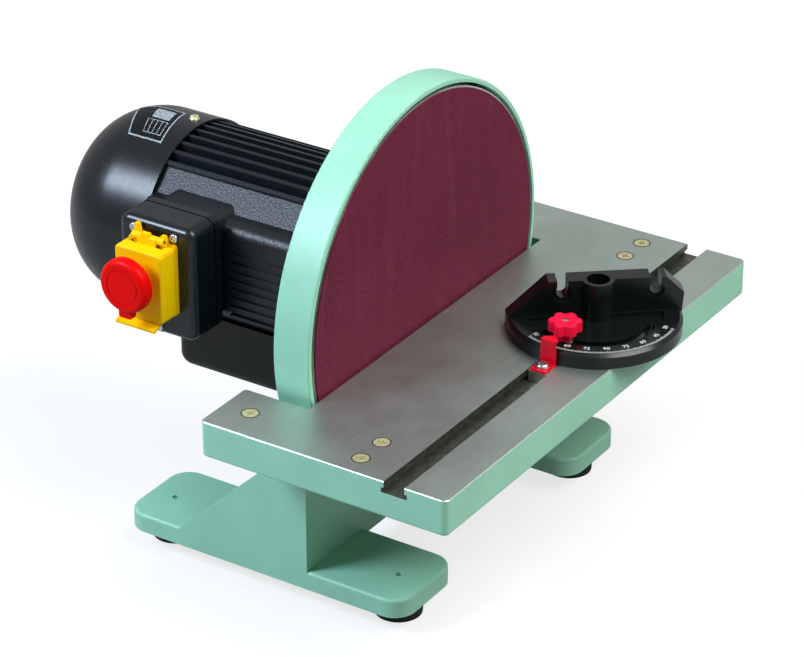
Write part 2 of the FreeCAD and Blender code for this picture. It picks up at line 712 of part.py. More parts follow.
def motor_rear_bell():
    disc = on_axis(BELL_R, FRAME_Y1, BELL_REAR_Y)
    boss = on_axis(BEARING_R + BEARING_WALL, REAR_BEARING_Y - 1, BELL_REAR_Y)
    lip = on_axis(BORE_R, FRAME_Y1 - 5, FRAME_Y1 + 1, BORE_R - 4)
    lugs = []
    for angle in COVER_SCREW_ANGLES:
        lug = box(-COVER_LUG_W / 2, COVER_LUG_W / 2, FRAME_Y1, COVER_SCREW_Y + 4,
                  AXIS_Z + 60, AXIS_Z + COVER_R)
        lugs.append(around_axis(lug, angle))
    inside = on_axis(COVER_R - COVER_T - 2 * SLIP, FRAME_Y1 - 10, COVER_SCREW_Y + 5)
    body = join([disc, boss, lip] + lugs).common(inside)
    tools = [on_axis(BEARING_R, REAR_BEARING_Y, REAR_BEARING_Y + BEARING_W)]
    tools.append(on_axis(SHAFT_R + 1.5, REAR_BEARING_Y - 2, BELL_REAR_Y + OVER))
    for angle in CORNER_ANGLES:
        tie = rod(TIE_R + SCREW_GAP, (TIE_PCR, FRAME_Y1 - OVER, AXIS_Z), BELL_T + 2 * OVER, Y_AXIS)
        tools.append(around_axis(tie, angle + TIE_TURN))
    for angle in COVER_SCREW_ANGLES:
        hole = rod(COVER_SCREW_R, (0, COVER_SCREW_Y, AXIS_Z + COVER_R - 13), 20, Z_AXIS)
        tools.append(around_axis(hole, angle))
    return cut_all(body, tools)


def motor_tie_bolts():
    bolts = []
    for angle in CORNER_ANGLES:
        head = hex_head(4, (TIE_PCR, BELL_REAR_Y, AXIS_Z), 3.5, Y_AXIS)
        shank = rod(TIE_R, (TIE_PCR, FRAME_Y0 - TIE_GRIP, AXIS_Z), BELL_REAR_Y - FRAME_Y0 + TIE_GRIP, Y_AXIS)
        bolts.append(around_axis(join([head, shank]), angle + TIE_TURN))
    return Part.makeCompound(bolts)


def dome(inset):
    # The fan cover's outer form, or the space inside it at a wall's inset.
    flat_r = COVER_R - COVER_RADIAL
    side = V(COVER_R - inset, COVER_ELLIPSE_Y, 0)
    nose = V(flat_r, COVER_ELLIPSE_Y + COVER_AXIAL - inset, 0)
    ellipse = Part.Ellipse(nose, side, V(flat_r, COVER_ELLIPSE_Y, 0))
    ends = sorted((ellipse.parameter(side), ellipse.parameter(nose)))
    if ends[1] - ends[0] > math.pi:
        ends = [ends[1], ends[0] + 2 * math.pi]
    corners = [nose, V(0, nose.y, 0), V(0, COVER_Y0 - inset, 0), V(side.x, COVER_Y0 - inset, 0), side]
    lines = [Part.makeLine(a, b) for a, b in zip(corners, corners[1:])]
    wire = Part.Wire(Part.__sortEdges__([ellipse.toShape(*ends)] + lines))
    solid = Part.Face(wire).revolve(V(0, 0, 0), Y_AXIS, 360)
    solid.translate(V(0, 0, AXIS_Z))
    return solid


def fan_cover():
    nose_y = COVER_ELLIPSE_Y + COVER_AXIAL
    slots = []
    for k in range(-4, 5):
        z = AXIS_Z + k * GRILLE_PITCH
        slots.append(box(-COVER_R, COVER_R, nose_y - 20, nose_y + OVER, z - GRILLE_W / 2, z + GRILLE_W / 2))
    grille = Part.makeCompound(slots).common(on_axis(GRILLE_R, nose_y - 20, nose_y + OVER))
    tools = [grille]
    for angle in COVER_SCREW_ANGLES:
        hole = rod(COVER_SCREW_R + SCREW_GAP, (0, COVER_SCREW_Y, AXIS_Z + COVER_R - 5), 10, Z_AXIS)
        tools.append(around_axis(hole, angle))
    return cut_all(dome(0).cut(dome(COVER_T)), tools)


def fan_cover_screws():
    screws = []
    top = AXIS_Z + COVER_R
    for angle in COVER_SCREW_ANGLES:
        head = Part.makeCone(4.2, 3.2, 2.4, V(0, COVER_SCREW_Y, top), Z_AXIS)
        cross = join([box(-2.4, 2.4, COVER_SCREW_Y - 0.5, COVER_SCREW_Y + 0.5, top + 1.2, top + 3),
                      box(-0.5, 0.5, COVER_SCREW_Y - 2.4, COVER_SCREW_Y + 2.4, top + 1.2, top + 3)])
        shank = rod(COVER_SCREW_R, (0, COVER_SCREW_Y, top - 12), 12, Z_AXIS)
        screws.append(around_axis(join([head, shank]).cut(cross), angle))
    return Part.makeCompound(screws)


# ---- Capacitor box -------------------------------------------------------


def capacitor_box():
    block = box(-CAP_HALF_X, CAP_HALF_X, CAP_Y0, CAP_Y1, CAP_BOTTOM_Z, AXIS_Z - CAP_SADDLE_DROP)
    low = [e for e in block.Edges if e.BoundBox.ZMax < CAP_BOTTOM_Z + 0.1]
    block = block.makeFillet(CAP_CORNER_R, low + edges_along(block, Z_AXIS))
    block = block.cut(on_axis(CAP_SADDLE_R, CAP_Y0 - OVER, CAP_Y1 + OVER))
    floor_z = CAP_BOTTOM_Z + CAP_WALL
    hollow = box(-CAP_HALF_X + CAP_WALL, CAP_HALF_X - CAP_WALL, CAP_Y0 + CAP_WALL, CAP_Y1 - CAP_WALL,
                 floor_z, AXIS_Z - CAP_SADDLE_DROP - CAP_WALL)
    low = [e for e in hollow.Edges if e.BoundBox.ZMax < floor_z + 0.1]
    hollow = hollow.makeFillet(CAP_CORNER_R - CAP_WALL, low + edges_along(hollow, Z_AXIS))
    hollow = hollow.cut(on_axis(CAP_SADDLE_R + CAP_WALL, CAP_Y0 - OVER, CAP_Y1 + OVER))
    window = box(-CAP_WINDOW_X, CAP_WINDOW_X, CAP_WINDOW[0], CAP_WINDOW[1], floor_z + 5, AXIS_Z)
    tools = [hollow, window]
    for y, x in capacitor_box_screw_places():
        tools.append(rod(CAP_SCREW_R + SCREW_GAP, (x, y, CAP_BOTTOM_Z + 10), 40, Z_AXIS))
    return cut_all(block, tools)


def cap_screw_seat():
    # Underside of the saddle wall at the inner side of a screw's head.
    return AXIS_Z - math.sqrt((CAP_SADDLE_R + CAP_WALL) ** 2 - (CAP_SCREW_X - 4.5) ** 2)


def capacitor_box_screws():
    screws = []
    for y, x in capacitor_box_screw_places():
        seat = cap_screw_seat()
        head = rod(4, (x, y, seat - 2.5), 2.5, Z_AXIS)
        shank = rod(CAP_SCREW_R, (x, y, seat - 1), 12, Z_AXIS)
        screws.append(join([head, shank]))
    return Part.makeCompound(screws)


def run_capacitor():
    can = rod(CAP_R, (0, CAP_CAN_Y, CAP_Z), CAP_L, Y_AXIS)
    can = can.makeFillet(2, [e for e in can.Edges if isinstance(e.Curve, Part.Circle)])
    tags = [box(x - 3, x + 3, CAP_CAN_Y - 9, CAP_CAN_Y + 1, CAP_Z - 0.4, CAP_Z + 0.4) for x in (-8, 8)]
    return join([can] + tags)


def capacitor_clamp():
    floor_z = CAP_BOTTOM_Z + CAP_WALL
    band = ring(CAP_R + CLIP_T, CAP_R + SCREW_GAP, (0, CLIP_Y, CAP_Z), CLIP_W, Y_AXIS)
    band = band.cut(box(-CAP_R - 5, CAP_R + 5, CLIP_Y - OVER, CLIP_Y + CLIP_W + OVER, CAP_Z + CAP_R * 0.5,
                        CAP_Z + CAP_R + 5))
    foot_plate = box(-CLIP_HALF_X, CLIP_HALF_X, CLIP_Y, CLIP_Y + CLIP_W, floor_z, floor_z + CLIP_T)
    return join([band, foot_plate])


# ---- Table ---------------------------------------------------------------

def arc_slot(radius, half_width, start, sweep, height):
    # A curved slot about the Z axis through the origin; angles in degrees from +X.
    band = Part.makeCylinder(radius + half_width, height, V(0, 0, 0), Z_AXIS, sweep)
    band = band.cut(rod(radius - half_width, (0, 0, -1), height + 2, Z_AXIS))
    band = turned(band, start, (0, 0, 0), Z_AXIS)
    ends = []
    for angle in (start, start + sweep):
        a = math.radians(angle)
        ends.append(rod(half_width, (radius * math.cos(a), radius * math.sin(a), 0), height, Z_AXIS))
    return join([band] + ends)


def table_outline(inset, z0, z1):
    # The U-shaped plan of the table, moved in by an inset, between two heights.
    front = box(-TABLE_HALF_X + inset, TABLE_HALF_X - inset, TABLE_FRONT_Y + inset, TABLE_EDGE_Y, z0, z1)
    wings = []
    for side in SIDES:
        x0, x1 = sorted((side * WING_IN_X, side * (TABLE_HALF_X - inset)))
        wings.append(box(x0, x1, TABLE_EDGE_Y - 5, WING_REAR_Y - inset, z0, z1))
    plan = join([front] + wings)
    return plan.makeFillet(TABLE_CORNER_R, edges_along(plan, Z_AXIS, outside_corner))


def outside_corner(edge):
    centre = edge.BoundBox.Center
    return abs(centre.x) > WING_IN_X + 5


def wing_tip(edge):
    # Rear inner corner of a wing.
    centre = edge.BoundBox.Center
    return centre.y > WING_REAR_Y - 1 and abs(centre.x) < WING_IN_X + 1


def lower_rim(edge):
    # Outer bottom edge of the skirt, at the sides and in front.
    bounds = edge.BoundBox
    outer = max(abs(bounds.XMin), abs(bounds.XMax)) > TABLE_HALF_X - 0.1 or bounds.YMin < TABLE_FRONT_Y + 0.1
    return bounds.ZMax < TABLE_BOTTOM_Z + 0.1 and outer


def upper_rim(edge):
    # Edge of the top, apart from the slot's and the screw holes'.
    bounds = edge.BoundBox
    round_edge = isinstance(edge.Curve, Part.Circle)
    return bounds.ZMin > TABLE_Z - 0.01 and not round_edge and abs(bounds.Center.y - SLOT_Y) > SLOT_W


def table_ribs():
    low = TABLE_Z - RIB_H
    half_slot = SLOT_W / 2 + SLOT_RIB_WALL
    ribs = [box(-TABLE_HALF_X + 2, TABLE_HALF_X - 2, SLOT_Y - half_slot, SLOT_Y + half_slot,
                TABLE_Z - SLOT_RIB_T, TABLE_Z - 1)]
    ribs.append(box(-WING_IN_X + SKIRT_T, WING_IN_X - SKIRT_T, RIB_Y - RIB_T / 2, RIB_Y + RIB_T / 2,
                    low, TABLE_Z - 1))
    for x in (-RIB_X, 0.0, RIB_X):
        ribs.append(box(x - RIB_T / 2, x + RIB_T / 2, TABLE_FRONT_Y + 2, RIB_Y, low, TABLE_Z - 1))
    return ribs


def table():
    under = TABLE_Z - TOP_T
    body = table_outline(0, TABLE_BOTTOM_Z, TABLE_Z)
    body = body.makeFillet(WING_TIP_R, edges_along(body, Z_AXIS, wing_tip))
    body = body.makeFillet(SKIRT_EDGE_R, [edge for edge in body.Edges if lower_rim(edge)])
    hollow = table_outline(SKIRT_T, TABLE_BOTTOM_Z - OVER, under)
    open_edge = box(-WING_IN_X, WING_IN_X, TABLE_EDGE_Y - 12, TABLE_EDGE_Y + OVER,
                    TABLE_BOTTOM_Z - OVER, under)
    relief = prism([(-WING_IN_X, TABLE_EDGE_Y - 4, under), (-WING_IN_X, TABLE_EDGE_Y + 1, under),
                    (-WING_IN_X, TABLE_EDGE_Y + 1, TABLE_Z - 4)], X_AXIS * (2 * WING_IN_X))
    body = join([body.cut(hollow).cut(open_edge).cut(relief)] + table_ribs())
    slot_low = TABLE_Z - SLOT_D
    half_x = TABLE_HALF_X + OVER
    half_cut = SLOT_W / 2 + SLOT_UNDERCUT_W
    tools = [box(-half_x, half_x, SLOT_Y - SLOT_W / 2, SLOT_Y + SLOT_W / 2, slot_low, TABLE_Z + OVER),
             box(-half_x, half_x, SLOT_Y - half_cut, SLOT_Y + half_cut, slot_low, slot_low + SLOT_UNDERCUT_H)]
    for x, y in table_screw_places():
        tools.append(rod(TABLE_SCREW_R + SCREW_GAP, (x, y, under - OVER), TOP_T + 2 * OVER, Z_AXIS))
        sink_at = V(x, y, TABLE_Z - SCREW_HEAD_H)
        tools.append(Part.makeCone(TABLE_SCREW_R + SCREW_GAP, SCREW_HEAD_R + SCREW_GAP,
                                   SCREW_HEAD_H + SCREW_GAP, sink_at, Z_AXIS))
    body = cut_all(body, tools)
    return body.makeChamfer(TOP_BEVEL, [edge for edge in body.Edges if upper_rim(edge)])


def table_screw_places():
    return [(side * x, y) for side in SIDES for x, y in TABLE_SCREWS]


def table_screws():
    screws = []
    for x, y in table_screw_places():
        seat = TABLE_Z - SCREW_HEAD_H
        low = TABLE_Z - TOP_T - FLANGE_T
        shank = rod(TABLE_SCREW_R, (x, y, low), seat - low, Z_AXIS)
        head = Part.makeCone(TABLE_SCREW_R, SCREW_HEAD_R, SCREW_HEAD_H, V(x, y, seat), Z_AXIS)
        cross = join([box(x - 3.4, x + 3.4, y - 0.6, y + 0.6, TABLE_Z - 2.2, TABLE_Z),
                      box(x - 0.6, x + 0.6, y - 3.4, y + 3.4, TABLE_Z - 2.2, TABLE_Z)])
        screws.append(join([shank, head]).cut(cross))
    return Part.makeCompound(screws)


def trunnion(side):
    # Round web with the lock's slot, and a flange under the table's wing with a notch between its ends.
    x0 = side * TRUNNION_X
    x1 = side * (TRUNNION_X + TRUNNION_T)
    under = TABLE_Z - TOP_T
    y0 = TABLE_SCREWS[0][1] - FLANGE_END
    y1 = TABLE_SCREWS[2][1] + FLANGE_END
    sector = rod(TRUNNION_R, (x0, TILT_Y, TILT_Z), TRUNNION_T, X_AXIS * side)
    low, high = sorted((x0, x1))
    lower = sector.common(box(low, high, TILT_Y - TRUNNION_R, TILT_Y + TRUNNION_R, 0, TILT_Z))
    upper = box(low, high, TILT_Y - TRUNNION_R, TILT_Y + TRUNNION_R, TILT_Z - 1, under)
    rail = box(low, high, y0, y1, under - FLANGE_T, under)
    near, far = sorted((x1 - side, side * (TABLE_HALF_X - SKIRT_T - 3)))
    front = box(near, far, y0, TILT_Y - 14, under - FLANGE_T, under)
    rear = box(near, far, TILT_Y + 10, y1, under - FLANGE_T, under)
    body = join([lower, upper, rail, front, rear])
    body = body.common(box(-TABLE_HALF_X, TABLE_HALF_X, TABLE_FRONT_Y, WING_REAR_Y - SKIRT_T - SLIP,
                           0, TABLE_Z))
    slot = arc_slot(LOCK_R, STUD_R + SLIP, LOCK_ANGLE - TILT_RANGE - 2, TILT_RANGE + 4, TRUNNION_T + 2 * OVER)
    slot.rotate(V(0, 0, 0), Y_AXIS, 90)
    slot.translate(V(low - OVER, TILT_Y, TILT_Z))
    tools = [slot, rod(PIVOT_R + RUN, (x0 - side * 5, TILT_Y, TILT_Z), TRUNNION_T + 10, X_AXIS * side)]
    for x, y in TABLE_SCREWS:
        start = (side * x, y, under - FLANGE_T - OVER)
        tools.append(rod(TABLE_SCREW_R, start, FLANGE_T + 2 * OVER, Z_AXIS))
    return cut_all(body, tools)


def pivot_screws():
    def one(side):
        neck = rod(PIVOT_THREAD_R, (side * (EAR_FACE_X - PIVOT_THREAD_L), TILT_Y, TILT_Z), PIVOT_THREAD_L,
                   X_AXIS * side)
        shoulder = rod(PIVOT_R, (side * EAR_FACE_X, TILT_Y, TILT_Z), TRUNNION_T + 2 * SLIP, X_AXIS * side)
        head_x = side * (TRUNNION_X + TRUNNION_T + SLIP)
        head = rod(PIVOT_HEAD_R, (head_x, TILT_Y, TILT_Z), PIVOT_HEAD_H, X_AXIS * side)
        socket = hex_head(2.5, (head_x + side * 1.5, TILT_Y, TILT_Z), PIVOT_HEAD_H, X_AXIS * side)
        return join([neck, shoulder, head]).cut(socket)
    return mirrored(one)


def lock_studs():
    inner = FOOT_OUT_X - WEB_T
    length = TRUNNION_X + TRUNNION_T + STUD_OUT - inner
    return mirrored(lambda side: rod(STUD_R, (side * inner, LOCK_Y, LOCK_Z), length, X_AXIS * side))


def lock_washers():
    x = TRUNNION_X + TRUNNION_T + SLIP
    return mirrored(lambda side: ring(WASHER_R, STUD_R + SCREW_GAP, (side * x, LOCK_Y, LOCK_Z), WASHER_T,
                                      X_AXIS * side))


def lobed_knob(radius, height, bore, lobes):
    # Lobed hand knob standing on z = 0 about the Z axis, with a plain bore.
    body = rod(radius * 0.8, (0, 0, 0), height, Z_AXIS)
    petals = []
    for k in range(lobes):
        spin = FreeCAD.Rotation(Z_AXIS, 360.0 * k / lobes)
        centre = spin.multVec(X_AXIS * (radius * 0.66))
        petals.append(rod(radius * 0.34, tuple(centre), height, Z_AXIS))
    body = join([body] + petals)
    body = body.makeFillet(1.5, [e for e in body.Edges if e.BoundBox.ZMin > height - 0.01])
    return body.cut(rod(bore, (0, 0, -OVER), height + 2 * OVER, Z_AXIS))


def tilt_lock_knob(side):
    knob = lobed_knob(KNOB_R, KNOB_H, STUD_R + RUN, 5)
    knob.rotate(V(0, 0, 0), Y_AXIS, 90 * side)
    knob.translate(V(side * (TRUNNION_X + TRUNNION_T + WASHER_T + 2 * SLIP), LOCK_Y, LOCK_Z))
    return knob


# ---- Mitre gauge ---------------------------------------------------------


def mitre_bar():
    bar = box(MITRE_X - BAR_LEFT, MITRE_X + BAR_RIGHT, SLOT_Y - BAR_W / 2, SLOT_Y + BAR_W / 2,
              BAR_TOP_Z - BAR_H, BAR_TOP_Z)
    bar = bar.makeChamfer(0.6, edges_along(bar, X_AXIS) + edges_along(bar, Z_AXIS))
    thread_z = BAR_TOP_Z - BAR_THREAD_L
    tools = [rod(MITRE_STUD_R, (MITRE_X, SLOT_Y, thread_z), BAR_H, Z_AXIS),
             rod(MITRE_STUD_R, (MITRE_X - ARC_R, SLOT_Y, thread_z), BAR_H, Z_AXIS),
             rod(POINTER_SCREW_R, (POINTER_SCREW_X, SLOT_Y, thread_z + 1), BAR_H, Z_AXIS)]
    return cut_all(bar, tools)


def at_head_rest(shape):
    return turned(shape, MITRE_REST, (MITRE_X, SLOT_Y, 0), Z_AXIS)


def head_plate():
    # Half-round plate with a shallow pocket that the lock's washer slides in.
    x, y = MITRE_X, SLOT_Y
    plate = rod(HEAD_R, (x, y, HEAD_Z), HEAD_T, Z_AXIS)
    plate = plate.makeChamfer(HEAD_CHAMFER, [e for e in plate.Edges if e.BoundBox.ZMin > HEAD_TOP_Z - 0.01])
    plate = plate.common(box(x - HEAD_R, x + FENCE_NEAR + 2, y - HEAD_R, y + HEAD_R, HEAD_Z, HEAD_TOP_Z))
    pocket = rod(POCKET_R, (x, y, POCKET_Z), HEAD_T, Z_AXIS)
    pocket = pocket.common(box(x - HEAD_R, x + FENCE_NEAR - POCKET_SETBACK, y - HEAD_R, y + HEAD_R,
                               POCKET_Z, HEAD_TOP_Z + OVER))
    return plate.cut(pocket)


def fence_notches():
    # Slots for the screws of a wooden fence, each with a round seat on the near face.
    tools = []
    x = MITRE_X + FENCE_NEAR
    bottom = HEAD_Z + FENCE_H - NOTCH_DEPTH
    for u in FENCE_NOTCHES:
        y = SLOT_Y - u
        tools.append(rod(NOTCH_W / 2, (x - OVER, y, bottom), FENCE_T + 2 * OVER, X_AXIS))
        tools.append(box(x - OVER, x + FENCE_T + OVER, y - NOTCH_W / 2, y + NOTCH_W / 2,
                         bottom, HEAD_Z + FENCE_H + OVER))
        tools.append(rod(NOTCH_SEAT_R, (x - OVER, y, bottom), OVER + NOTCH_SEAT_D, X_AXIS))
    return tools


def mitre_head():
    x, y = MITRE_X, SLOT_Y
    fence = prism([(x + FENCE_NEAR, y - u, HEAD_Z + h) for u, h in FENCE_POINTS], X_AXIS * FENCE_T)
    bore_at = (x + POST_BORE_X, y - POST_BORE_U)
    boss = rod(POST_BORE_R + POST_BORE_WALL, (*bore_at, HEAD_Z), FENCE_H, Z_AXIS)
    boss = boss.common(box(x - HEAD_R, x + FENCE_NEAR + FENCE_T, y - HEAD_R, y + HEAD_R,
                           HEAD_Z, HEAD_Z + FENCE_H))
    arc = arc_slot(ARC_R, MITRE_STUD_R + ARC_GAP, 180 - MITRE_RANGE - 3, 2 * MITRE_RANGE + 6,
                   HEAD_T + 2 * OVER)
    arc.translate(V(x, y, HEAD_Z - OVER))
    tools = [rod(POST_BORE_R, (*bore_at, HEAD_TOP_Z), FENCE_H, Z_AXIS),
             rod(MITRE_PIVOT_R + RUN, (x, y, HEAD_Z - OVER), HEAD_T, Z_AXIS),
             rod(MITRE_PIVOT_HEAD_R + RUN, (x, y, HEAD_TOP_Z - MITRE_PIVOT_SINK),
                 MITRE_PIVOT_SINK + OVER, Z_AXIS), arc]
    return at_head_rest(cut_all(join([head_plate(), fence, boss]), tools + fence_notches()))


def mitre_pivot_screw():
    seat_z = HEAD_TOP_Z - MITRE_PIVOT_SINK + SLIP
    shoulder = rod(MITRE_PIVOT_R, (MITRE_X, SLOT_Y, BAR_TOP_Z), seat_z - BAR_TOP_Z, Z_AXIS)
    thread = rod(MITRE_STUD_R, (MITRE_X, SLOT_Y, BAR_TOP_Z - BAR_THREAD_L), BAR_THREAD_L + 1, Z_AXIS)
    head = rod(MITRE_PIVOT_HEAD_R, (MITRE_X, SLOT_Y, seat_z), MITRE_PIVOT_HEAD_T, Z_AXIS)
    socket = hex_head(2.5, (MITRE_X, SLOT_Y, seat_z + 1), MITRE_PIVOT_HEAD_T, Z_AXIS)
    return join([shoulder, thread, head]).cut(socket)


def mitre_lock_stud():
    start = (MITRE_X - ARC_R, SLOT_Y, BAR_TOP_Z - BAR_THREAD_L)
    return rod(MITRE_STUD_R, start, HEAD_TOP_Z + MITRE_STUD_RISE - BAR_TOP_Z + BAR_THREAD_L, Z_AXIS)


def mitre_lock_knob():
    # Lobed head on a plain collar that reaches down into the pocket.
    low = POCKET_Z + MITRE_WASHER_T + 2 * SLIP
    high = HEAD_TOP_Z + MITRE_KNOB_TOP
    knob = lobed_knob(MITRE_KNOB_R, MITRE_KNOB_H, MITRE_STUD_R + RUN, 6)
    knob.translate(V(MITRE_X - ARC_R, SLOT_Y, high - MITRE_KNOB_H))
    collar = ring(MITRE_WASHER_R - 1, MITRE_STUD_R + RUN, (MITRE_X - ARC_R, SLOT_Y, low),
                  high - MITRE_KNOB_H - low + 1, Z_AXIS)
    return join([knob, collar])


def mitre_lock_washer():
    return ring(MITRE_WASHER_R, MITRE_STUD_R + SCREW_GAP, (MITRE_X - ARC_R, SLOT_Y, POCKET_Z + SLIP),
                MITRE_WASHER_T, Z_AXIS)


def mitre_pointer():
    x0 = MITRE_X - BAR_LEFT + 0.5
    x1 = MITRE_X - HEAD_R - 1.0
    y0, y1 = SLOT_Y - POINTER_W / 2, SLOT_Y + POINTER_W / 2
    foot_plate = box(x0, x1, y0, y1, BAR_TOP_Z, BAR_TOP_Z + POINTER_T)
    tip_z = HEAD_TOP_Z + POINTER_RISE
    upright = box(x1 - POINTER_T, x1, y0, y1, BAR_TOP_Z, tip_z + POINTER_T)
    tip = prism([(x1 - POINTER_T, y0, tip_z), (x1 - POINTER_T, y1, tip_z), (x1 + 3, y1, tip_z),
                 (x1 + 8, SLOT_Y, tip_z), (x1 + 3, y0, tip_z)], Z_AXIS * POINTER_T)
    hole = rod(POINTER_SCREW_R + SCREW_GAP, (POINTER_SCREW_X, SLOT_Y, BAR_TOP_Z - OVER), 5, Z_AXIS)
    return join([foot_plate, upright, tip]).cut(hole)


def mitre_pointer_screw():
    seat = BAR_TOP_Z + POINTER_T
    x = POINTER_SCREW_X
    low = BAR_TOP_Z - BAR_THREAD_L + 1
    shank = rod(POINTER_SCREW_R, (x, SLOT_Y, low), seat - low, Z_AXIS)
    head = rod(5.2, (x, SLOT_Y, seat), 3.4, Z_AXIS)
    head = head.makeFillet(2, [e for e in head.Edges if e.BoundBox.ZMin > seat + 3.3])
    cross = join([box(x - 2.8, x + 2.8, SLOT_Y - 0.5, SLOT_Y + 0.5, seat + 1.6, seat + 4),
                  box(x - 0.5, x + 0.5, SLOT_Y - 2.8, SLOT_Y + 2.8, seat + 1.6, seat + 4)])
    return join([shank, head]).cut(cross)


# ---- Switch box ----------------------------------------------------------


def box_block(x0, x1, inset):
    return round_box(x0, x1, BOX_Y0 + inset, BOX_Y1 - inset, BOX_Z0 + inset, BOX_Z1 - inset,
                     max(BOX_CORNER_R - inset, 2), X_AXIS)


def box_screw_places():
    # Two screws above the switch and one below it.
    return [(SWITCH_Y - BOX_SCREW_DY, BOX_SCREW_TOP_Z), (SWITCH_Y + BOX_SCREW_DY, BOX_SCREW_TOP_Z),
            (SWITCH_Y - 2, BOX_SCREW_LOW_Z)]


def switch_box():
    # Shallow back part, screwed to the motor frame's neck behind the gasket.
    back = box_block(SHELL_FRONT_X, BOX_BACK_X, 0)
    hollow = box_block(SHELL_FRONT_X - 1, BOX_BACK_X + 1, 13)
    tools = [hollow]
    for y, z in box_screw_places():
        tools.append(rod(BOX_SCREW_R, (SHELL_FRONT_X - 1, y, z), BOX_BACK_X - SHELL_FRONT_X - 1, X_AXIS))
    return cut_all(back, tools)


def cable_gland():
    body = rod(GLAND_R, (GLAND_X, BOX_Y1 - 6, GLAND_Z), 9, Y_AXIS)
    nut = hex_head(8, (GLAND_X, BOX_Y1, GLAND_Z), 4, Y_AXIS)
    nose = Part.makeCone(7, 5.2, 6, V(GLAND_X, BOX_Y1 + 4, GLAND_Z), Y_AXIS)
    return join([body, nut, nose]).cut(rod(3.6, (GLAND_X, BOX_Y1 - 10, GLAND_Z), 30, Y_AXIS))


def switch_box_gasket():
    frame = box_block(COVER_BACK_X, SHELL_FRONT_X, 1)
    frame = frame.cut(box_block(COVER_BACK_X - OVER, SHELL_FRONT_X + OVER, 12))
    holes = []
    for y, z in box_screw_places():
        holes.append(rod(BOX_SCREW_R + SLIP, (COVER_BACK_X - OVER, y, z), GASKET_T + 2 * OVER, X_AXIS))
    return cut_all(frame, holes)


def switch_box_cover():
    block = box_block(BOX_FACE_X, COVER_BACK_X, 0)
    face_edges = [e for e in block.Edges if e.BoundBox.XMax < BOX_FACE_X + 0.01]
    block = block.makeFillet(BOX_FACE_FILLET, face_edges)
    hollow = box_block(BOX_FACE_X + BOX_WALL, COVER_BACK_X + 1, BOX_WALL)
    posts = [rod(5, (BOX_FACE_X + 1, y, z), BOX_COVER_T - 1, X_AXIS) for y, z in box_screw_places()]
    window = box(BOX_FACE_X - 1, BOX_FACE_X + BOX_WALL + 1, SWITCH_Y - SWITCH_BODY_W / 2 - SLIP,
                 SWITCH_Y + SWITCH_BODY_W / 2 + SLIP, SWITCH_Z - SWITCH_BODY_H / 2 - SLIP,
                 SWITCH_Z + SWITCH_BODY_H / 2 + SLIP)
    tools = [window, rod(GLAND_R, (GLAND_X, BOX_Y1 - 8, GLAND_Z), 12, Y_AXIS)]
    for y, z in box_screw_places():
        tools.append(rod(BOX_SCREW_R + SCREW_GAP, (BOX_FACE_X - 1, y, z), BOX_COVER_T + 2, X_AXIS))
    block = block.cut(hollow)
    keep = box_block(BOX_FACE_X + 0.5, COVER_BACK_X, 0.5)
    return cut_all(join([block] + [post.common(keep) for post in posts]), tools)


def pan_screw(x_seat, y, z, head_r, shank_r, length):
    head = rod(head_r, (x_seat, y, z), 2.2, X_AXIS * -1)
    head = head.makeFillet(1.2, [e for e in head.Edges if e.BoundBox.XMax < x_seat - 2.1])
    shank = rod(shank_r, (x_seat, y, z), length, X_AXIS)
    cross = join([box(x_seat - 3, x_seat - 1, y - head_r / 2, y + head_r / 2, z - 0.4, z + 0.4),
                  box(x_seat - 3, x_seat - 1, y - 0.4, y + 0.4, z - head_r / 2, z + head_r / 2)])
    return join([head, shank]).cut(cross)


def switch_box_screws():
    length = BOX_BACK_X - 2 - BOX_FACE_X
    return Part.makeCompound([pan_screw(BOX_FACE_X, y, z, BOX_SCREW_HEAD_R, BOX_SCREW_R, length)
                              for y, z in box_screw_places()])


def button_wells(x0, depth):
    return [rod(BUTTON_R + SLIP, (x0, SWITCH_Y, z), depth, X_AXIS) for z in (STOP_Z, START_Z)]


def switch_body():
    # Contact block behind the face plate, with a well for each button.
    y0, z0 = SWITCH_Y - SWITCH_BODY_W / 2, SWITCH_Z - SWITCH_BODY_H / 2
    block = box(BOX_FACE_X, BOX_FACE_X + SWITCH_BODY_L, y0, y0 + SWITCH_BODY_W, z0, z0 + SWITCH_BODY_H)
    tags = []
    for y in (SWITCH_Y - 10, SWITCH_Y + 10):
        for z in (205, 220, 235):
            x = BOX_FACE_X + SWITCH_BODY_L
            tags.append(box(x - 1, x + 5, y - 2, y + 2, z - 0.4, z + 0.4))
    return cut_all(join([block] + tags), button_wells(BOX_FACE_X - 1, 11))


def hinge_ear(y0, y1, rise):
    # Upright on the face plate that carries the hinge pin, rising above it to a point.
    body = rod(HINGE_EAR_R, (HINGE_X, y0, HINGE_Z), y1 - y0, Y_AXIS)
    stem = box(HINGE_X, BOX_FACE_X, y0, y1, HINGE_Z - 6, HINGE_Z + 1)
    middle = (y0 + y1) / 2
    x, top = HINGE_X + 1, HINGE_Z + rise
    point = prism([(x, y0, HINGE_Z), (x, y1, HINGE_Z), (x, middle + 1.5, top), (x, middle - 1.5, top)],
                  X_AXIS * 4)
    return join([body, stem, point])


